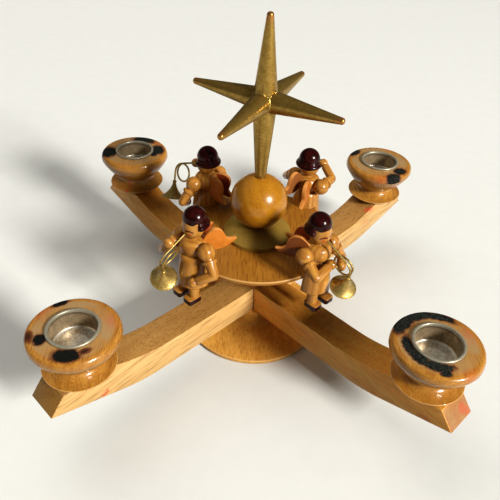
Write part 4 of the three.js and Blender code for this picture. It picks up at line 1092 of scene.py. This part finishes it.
# Arms: a ball sleeve with a cuff ring and a tapered upper arm turned in one, and a plain
# peg with a ball for a hand, glued at the elbow. The sleeve is glued flat to the chest.
SHOULDER_HEIGHT = 15
SLEEVE_RADIUS = 4.7
SLEEVE_FLAT = 2.3
CUFF_RADIUS = 3.7
CUFF_WIDTH = 1.5
CUFF_EASE = 0.3
ARM_RADIUS = 2.9
ELBOW_RADIUS = 2.5
ELBOW_PULL = ELBOW_RADIUS * 0.7
HAND_RADIUS = 2.7
ARM_LENGTH = 12.5
FOREARM_SIDES = 32
LAP_ANGLE = radians(48)
LAP_DROP = 1.2
CENTRE_MARK = 0x4A2208
SIDES = (("left", 1), ("right", -1))
# what each left and right hand holds, a share of the horn's lead or loop or else the lap,
# and the degrees of its elbow below straight out
HOLDS = ((("loop", 0.45, 30), ("lead", 0.88, 24)), (("lap", 0, 40), ("lead", 0.45, 30)),
         (("lap", 0, 45), ("lead", 0.62, 50)), (("loop", 0.42, 45), ("loop", 0.52, 4)))


def centre_mark(tree, hue, rough):
    """Paint function for the dark ring that the lathe's centre left in each sleeve."""
    place = own_place(tree)
    ring = calc(tree, "ABSOLUTE", calc(tree, "SUBTRACT", from_axis(tree, place), 1.1))
    end = ramp(tree, coordinate(tree, place), -4.1, -4.4, 0, 0.8)
    ring = calc(tree, "MULTIPLY", ramp(tree, ring, 0.45, 0.15), end)
    return blend(tree, ring, hue, CENTRE_MARK), rough, None


def hand_place(held, share, side, horn):
    """Where the middle of a hand lies, in the lap or beside the pipe of the horn."""
    if held == "lap":
        reach = HEM_RADIUS + FIT + HAND_RADIUS
        return Vector((reach * cos(LAP_ANGLE), side * reach * sin(LAP_ANGLE), -LAP_DROP))
    point = lead_end * share if held == "lead" else on_loop(share)
    return horn @ (point + Vector((0, side * HAND_RADIUS, 0)))


def elbow_place(shoulder, hand, side, angle):
    """The elbow of an arm with two equal halves, bent outwards and down by an angle."""
    reach = hand - shoulder
    bend = Vector((0, side * cos(angle), -sin(angle)))
    run = reach.normalized()
    bend -= run * bend.dot(run)
    out = sqrt(max(ARM_LENGTH ** 2 - (reach.length / 2) ** 2, 0))
    return shoulder + reach / 2 + bend.normalized() * out


def laid(start, end):
    """Place of a form that is drawn up from the origin, along a line."""
    turn = Vector((0, 0, 1)).rotation_difference(end - start)
    return Matrix.Translation(start) @ turn.to_matrix().to_4x4()


cuff_end = SLEEVE_RADIUS + CUFF_WIDTH
sleeve_top = degrees(acos(ARM_RADIUS / SLEEVE_RADIUS))
upper_arm_line = round_line(SLEEVE_RADIUS, -90, sleeve_top, steps=28) + drawn(
    (ARM_RADIUS, SLEEVE_RADIUS - 0.35), (CUFF_RADIUS - CUFF_EASE, SLEEVE_RADIUS - 0.2),
    (CUFF_RADIUS, SLEEVE_RADIUS + CUFF_EASE, CUFF_RADIUS, SLEEVE_RADIUS - 0.2),
    (CUFF_RADIUS, cuff_end - CUFF_EASE),
    (CUFF_RADIUS - CUFF_EASE, cuff_end, CUFF_RADIUS, cuff_end),
    (ARM_RADIUS, cuff_end), (ELBOW_RADIUS, ARM_LENGTH),
    (0, ARM_LENGTH + ELBOW_RADIUS, ELBOW_PULL, ARM_LENGTH + ELBOW_RADIUS),
    steps=5,
)
wrist = degrees(acos(ELBOW_RADIUS / HAND_RADIUS))
sleeve_wood = figure_beech("sleeve_wood", paint=centre_mark)
for number, (seat, horn, holds) in enumerate(zip(seats, horns, HOLDS), 1):
    for (label, side), (held, share, bend) in zip(SIDES, holds):
        chest = side * (CHEST_RADIUS + SEAT_GAP)
        shoulder = Vector((0, chest + side * (SLEEVE_RADIUS - SLEEVE_FLAT), SHOULDER_HEIGHT))
        hand = hand_place(held, share, side, horn)
        elbow = elbow_place(shoulder, hand, side, radians(bend))
        length = (hand - elbow).length
        arm = added(bmesh.new(), turned(upper_arm_line, FIGURE_SIDES), laid(shoulder, elbow))
        cut_off(arm, (0, chest, 0), (0, side, 0))
        forearm_line = drawn(
            (0, -ELBOW_RADIUS), (ELBOW_RADIUS, 0, ELBOW_PULL, -ELBOW_RADIUS),
            (ELBOW_RADIUS, length - HAND_RADIUS - 0.5),
            (ELBOW_RADIUS - 0.25, length - HAND_RADIUS + 0.2),
            steps=5,
        ) + round_line(HAND_RADIUS, -wrist - 28, 90, length, 16)
        added(arm, turned(forearm_line, FOREARM_SIDES), laid(elbow, hand))
        figure_piece(arm, number, f"arm_{label}", sleeve_wood, seat)

# Legs: tapered pegs glued under the skirt, each with a block for a shoe. The blocks are
# dipped in the paint of the hair, which leaves their tops bare.
LEG_SPREAD = 4.5
LEG_FORWARD = 4.2
LEG_RADIUS = 3.1
LEG_LENGTH = 9.8
LEG_SIDES = 40
ANKLE_RADIUS = 2.7
SHOE_LENGTH = 8.4
SHOE_WIDTH = 6.4
SHOE_HEIGHT = 3.3
SHOE_MIDDLE = SHOE_HEIGHT / 2 - LEG_LENGTH
SHOE_CORNER = 1.5
SHOE_FORWARD = 1.2
SHOE_EASE = 0.35
SHOE_PAINT = 0x260806


def painted_sole(tree, hue, rough):
    """Paint function for the dark sides of a shoe, with a hand-painted edge."""
    place = own_place(tree)
    uneven = calc(tree, "MULTIPLY_ADD", noise(tree, place, (0.5,) * 3, 1), 0.5,
                  coordinate(tree, place))
    edge = SHOE_HEIGHT - LEG_LENGTH + 0.05
    painted = ramp(tree, uneven, edge + 0.12, edge - 0.12)
    return blend(tree, painted, hue, SHOE_PAINT), rough, painted


shoe_wood = figure_beech("shoe_wood", 0.25, 0.2, paint=painted_sole)
leg_line = drawn((0, SHOE_MIDDLE), (ANKLE_RADIUS, SHOE_MIDDLE), (LEG_RADIUS, -SEAT_GAP),
                 (0, -SEAT_GAP))


def leg_shape():
    """A peg in the block of its shoe, whose upright edges are cut off and all edges eased."""
    shoe = bmesh.new()
    bmesh.ops.create_cube(shoe, size=1)
    bmesh.ops.scale(shoe, verts=shoe.verts, vec=(SHOE_LENGTH, SHOE_WIDTH, SHOE_HEIGHT))
    upright = [e for e in shoe.edges if abs(e.verts[0].co.z - e.verts[1].co.z) > SHOE_HEIGHT / 2]
    eased(shoe, upright, SHOE_CORNER, 4)
    eased(shoe, sharp_edges(shoe, 60), SHOE_EASE)
    bmesh.ops.translate(shoe, verts=shoe.verts, vec=(SHOE_FORWARD, 0, SHOE_MIDDLE))
    mark_place(shoe)
    return added(shoe, turned(leg_line, LEG_SIDES))


for number, seat in enumerate(seats, 1):
    for label, side in SIDES:
        place = seat @ Matrix.Translation((LEG_FORWARD, side * LEG_SPREAD, -HEM_DROP))
        figure_piece(leg_shape(), number, f"leg_{label}", shoe_wood, place)

# Wings: comma-shaped leaves sawn from thin board, with rounded edges left natural. They are
# stained orange outside and darker inside, with painted shade on the wings that face away from
# the light. A small pin through the root holds each to the back.
WING_ROOT = CHEST_RADIUS / 2
WING_ROOT_HEIGHT = 18
WING_LOBE = 10.9
WING_LOBE_HALF = 3
WING_TOP = 23.3
WING_HOLLOW = 16
WING_HOLLOW_HEIGHT = 17.6
WING_SPAN = 22
WING_TIP_HEIGHT = 14.4
WING_BOTTOM = 10.4
WING_THICKNESS = 2.4
WING_EDGE = 0.25
WING_APART = 2.5
STAIN_SHARE = 0.9
PIN_RADIUS = 0.55
PIN_STRETCH = 2.1
PIN_SIDES = 16
PIN_PLACE = (CHEST_RADIUS + 0.9, 0, 16.4)
# per angel: pale and deep stain of the left and the right wing's outer face, and the inner one,
# with painted shade in the darker copies
# the stains darker than angel 3's are painted shade; the right wings of angels 2 and 4 carry the
# most
WING_STAINS_AND_SHADE = (((0xC57A25, 0xA95E17), (0xAF6821, 0x975415), 0x73431D),
               ((0xB86C1C, 0x9E5410), (0x823C09, 0x703207), 0x963A1A),
               ((0xC67A24, 0xAA5E16), (0xC67A24, 0xAA5E16), 0x963A1A),
               ((0xC67A24, 0xAA5E16), (0x6A3006, 0x582604), 0x963A1A))
# degrees from straight back, and degrees of droop, of each left and right wing
WING_SETS = (((-1, -4), (18, 30)), ((-8, 30), (27, 34)), ((24, -6), (18, 0)), ((-9, 4), (34, 3)))


def curve(start, first, second, end, steps=14):
    """Points of a curve with two pulls, without its first point."""
    points = []
    for i in range(1, steps + 1):
        t = i / steps
        parts = zip((start, first, second, end),
                    ((1 - t) ** 3, 3 * t * (1 - t) ** 2, 3 * t * t * (1 - t), t ** 3))
        points.append(sum((Vector(point) * share for point, share in parts), Vector((0, 0))))
    return points


def wing_line():
    """Outline of a wing, from the root over the lobe to the tip and back below."""
    crown = WING_ROOT_HEIGHT + 4 / 3 * (WING_TOP - WING_ROOT_HEIGHT)
    belly = CHEST_HEIGHT + 4 / 3 * (WING_BOTTOM - CHEST_HEIGHT)
    lobe_start, lobe_end = WING_LOBE - WING_LOBE_HALF, WING_LOBE + WING_LOBE_HALF
    root_low, root_high = (WING_ROOT, CHEST_HEIGHT), (WING_ROOT, WING_ROOT_HEIGHT)
    hollow, tip = (WING_HOLLOW, WING_HOLLOW_HEIGHT), (WING_SPAN, WING_TIP_HEIGHT)
    under = curve(tip, (WING_HOLLOW, belly), (lobe_start, belly), root_low)
    return [Vector(root_low), Vector(root_high),
            *curve(root_high, (lobe_start, crown), (lobe_end, crown), hollow),
            *drawn(hollow, (*tip, WING_HOLLOW, WING_TIP_HEIGHT))[1:], *under[:-1]]


def stained_and_shaded_faces(side, outer, inner):
    """Paint function for a wing's stained faces, the outer one and the one towards its twin;
    where a wing lies away from the light its stains carry painted shade.
    """
    def paint(tree, hue, rough):
        place = own_place(tree)
        outside = blend(tree, noise(tree, place, (0.4,) * 3, 3), *outer)
        for way, stain_and_shade in ((-side, outside), (side, inner)):
            depth = calc(tree, "MULTIPLY", coordinate(tree, place, "Y"), way)
            skin = ramp(tree, depth, WING_THICKNESS / 2 - 0.2, WING_THICKNESS / 2 - 0.02,
                        0, STAIN_SHARE)
            hue = blend(tree, skin, hue, stain_and_shade)
        return hue, rough, None
    return paint


pin_paint = metal("pin_iron", 0x2A1018, 0x4A2028, 0.3, (0.5, 0.4))
hinge = Vector((WING_ROOT, 0, WING_ROOT_HEIGHT))
for number, (seat, wings, (*outers, inner)) in enumerate(zip(seats, WING_SETS, WING_STAINS_AND_SHADE), 1):
    for (label, side), outer, (sweep, droop) in zip(SIDES, outers, wings):
        wing_wood = wood(f"wing_wood_{number}_{label}", 0xE0A058, 0xC07A34, 0x8A4E1C,
                         turn=(0, -90, 0), wavy=0.5, fleck=(5, 0.42, 0.3), gloss=(0.5, 0.6),
                         coat=0.04, paint=stained_and_shaded_faces(side, outer, inner))
        aside = Vector((0, -side * WING_APART, 0))
        place = (seat @ about("Z", 180 - side * sweep) @ Matrix.Translation(hinge + aside)
                 @ about("Y", droop) @ Matrix.Translation(-hinge))
        figure_piece(board(wing_line(), WING_THICKNESS, WING_EDGE), number, f"wing_{label}",
                     wing_wood, place)
        pin = turned(round_line(PIN_RADIUS, -90, 90, steps=10), PIN_SIDES)
        bmesh.ops.scale(pin, verts=pin.verts, vec=(1, PIN_STRETCH, 1))
        piece(pin, f"figure_{number}_pin_{label}", pin_paint, None,
              place=place @ Matrix.Translation(PIN_PLACE))

# Floor, light and camera: a plain pale table top, a large soft window at the front right
# and white surroundings, seen from above the front as in the photograph.
FLOOR_HALF = 4000
FLOOR_DROP = 0.1
FOCAL = 583.704
FRAME = 500
CAMERA_DISTANCE = 341.534
CAMERA_RISE = 38.168
CAMERA_SIDE = -1.238
CAMERA_ROLL = 3.127
AIM_SIDE = -3.405
AIM = Vector((0, 0, 51.579))
LIGHT_COLOUR = (1, 0.985, 0.96)
# soft boxes: name, side, metres off, metres across, watts, and whether its shine is seen
LIGHTS = (("window", Vector((0.66, -0.6, 0.47)), 6, 1.2, 540, True),
          ("ceiling", Vector((-0.5, 0.55, 1)), 3, 3, 48, False),
          ("white_wall", Vector((-0.9, -0.6, 0.5)), 3, 3, 8, False))

sheet = bmesh.new()
bmesh.ops.create_grid(sheet, x_segments=1, y_segments=1, size=FLOOR_HALF)
floor_mesh = mesh_of(sheet, "table_top")
floor_mesh.transform(Matrix.Scale(MM, 4) @ Matrix.Translation((0, 0, -FLOOR_DROP)))
floor_paint, tree, shader = plain_material("table_paint")
spot = put(tree, "ShaderNodeTexCoord").outputs["Object"]
mottle = put(tree, "ShaderNodeTexNoise", {"Vector": spot, "Scale": 90, "Detail": 4})
tone = blend(tree, mottle.outputs["Fac"], 0xD6D6D0, 0xDCDCD6)
feed(tree, shader, {"Base Color": tone, "Roughness": 0.85})
floor_mesh.materials.append(floor_paint)
floor = stood("table_top", floor_mesh)
floor.visible_diffuse = False

world = bpy.data.worlds.new("studio")
world.use_nodes = True
feed(world.node_tree, world.node_tree.nodes["Background"],
     {"Color": (1, 0.98, 0.94, 1), "Strength": 0.09})
scene.world = world

for name, towards, distance, width, power, seen in LIGHTS:
    lamp = bpy.data.lights.new(name, "AREA")
    lamp.shape = "RECTANGLE"
    lamp.size = lamp.size_y = width
    lamp.energy = power
    lamp.color = LIGHT_COLOUR
    stand = stood(name, lamp)
    stand.location = towards.normalized() * distance + AIM * MM
    stand.rotation_euler = towards.to_track_quat("Z", "Y").to_euler()
    if not seen:
        stand.visible_glossy = False
        stand.visible_camera = False

camera = bpy.data.cameras.new("camera")
camera.sensor_width = 36
camera.lens = FOCAL / FRAME * camera.sensor_width
looking = about("Z", CAMERA_SIDE) @ about("X", 90 - CAMERA_RISE)
eye = AIM + looking @ Vector((AIM_SIDE, 0, CAMERA_DISTANCE))
scene.camera = stood("camera", camera)
scene.camera.matrix_world = Matrix.Translation(eye * MM) @ looking @ about("Z", CAMERA_ROLL)
scene.view_settings.view_transform = "Standard"
scene.view_settings.look = "Medium High Contrast"
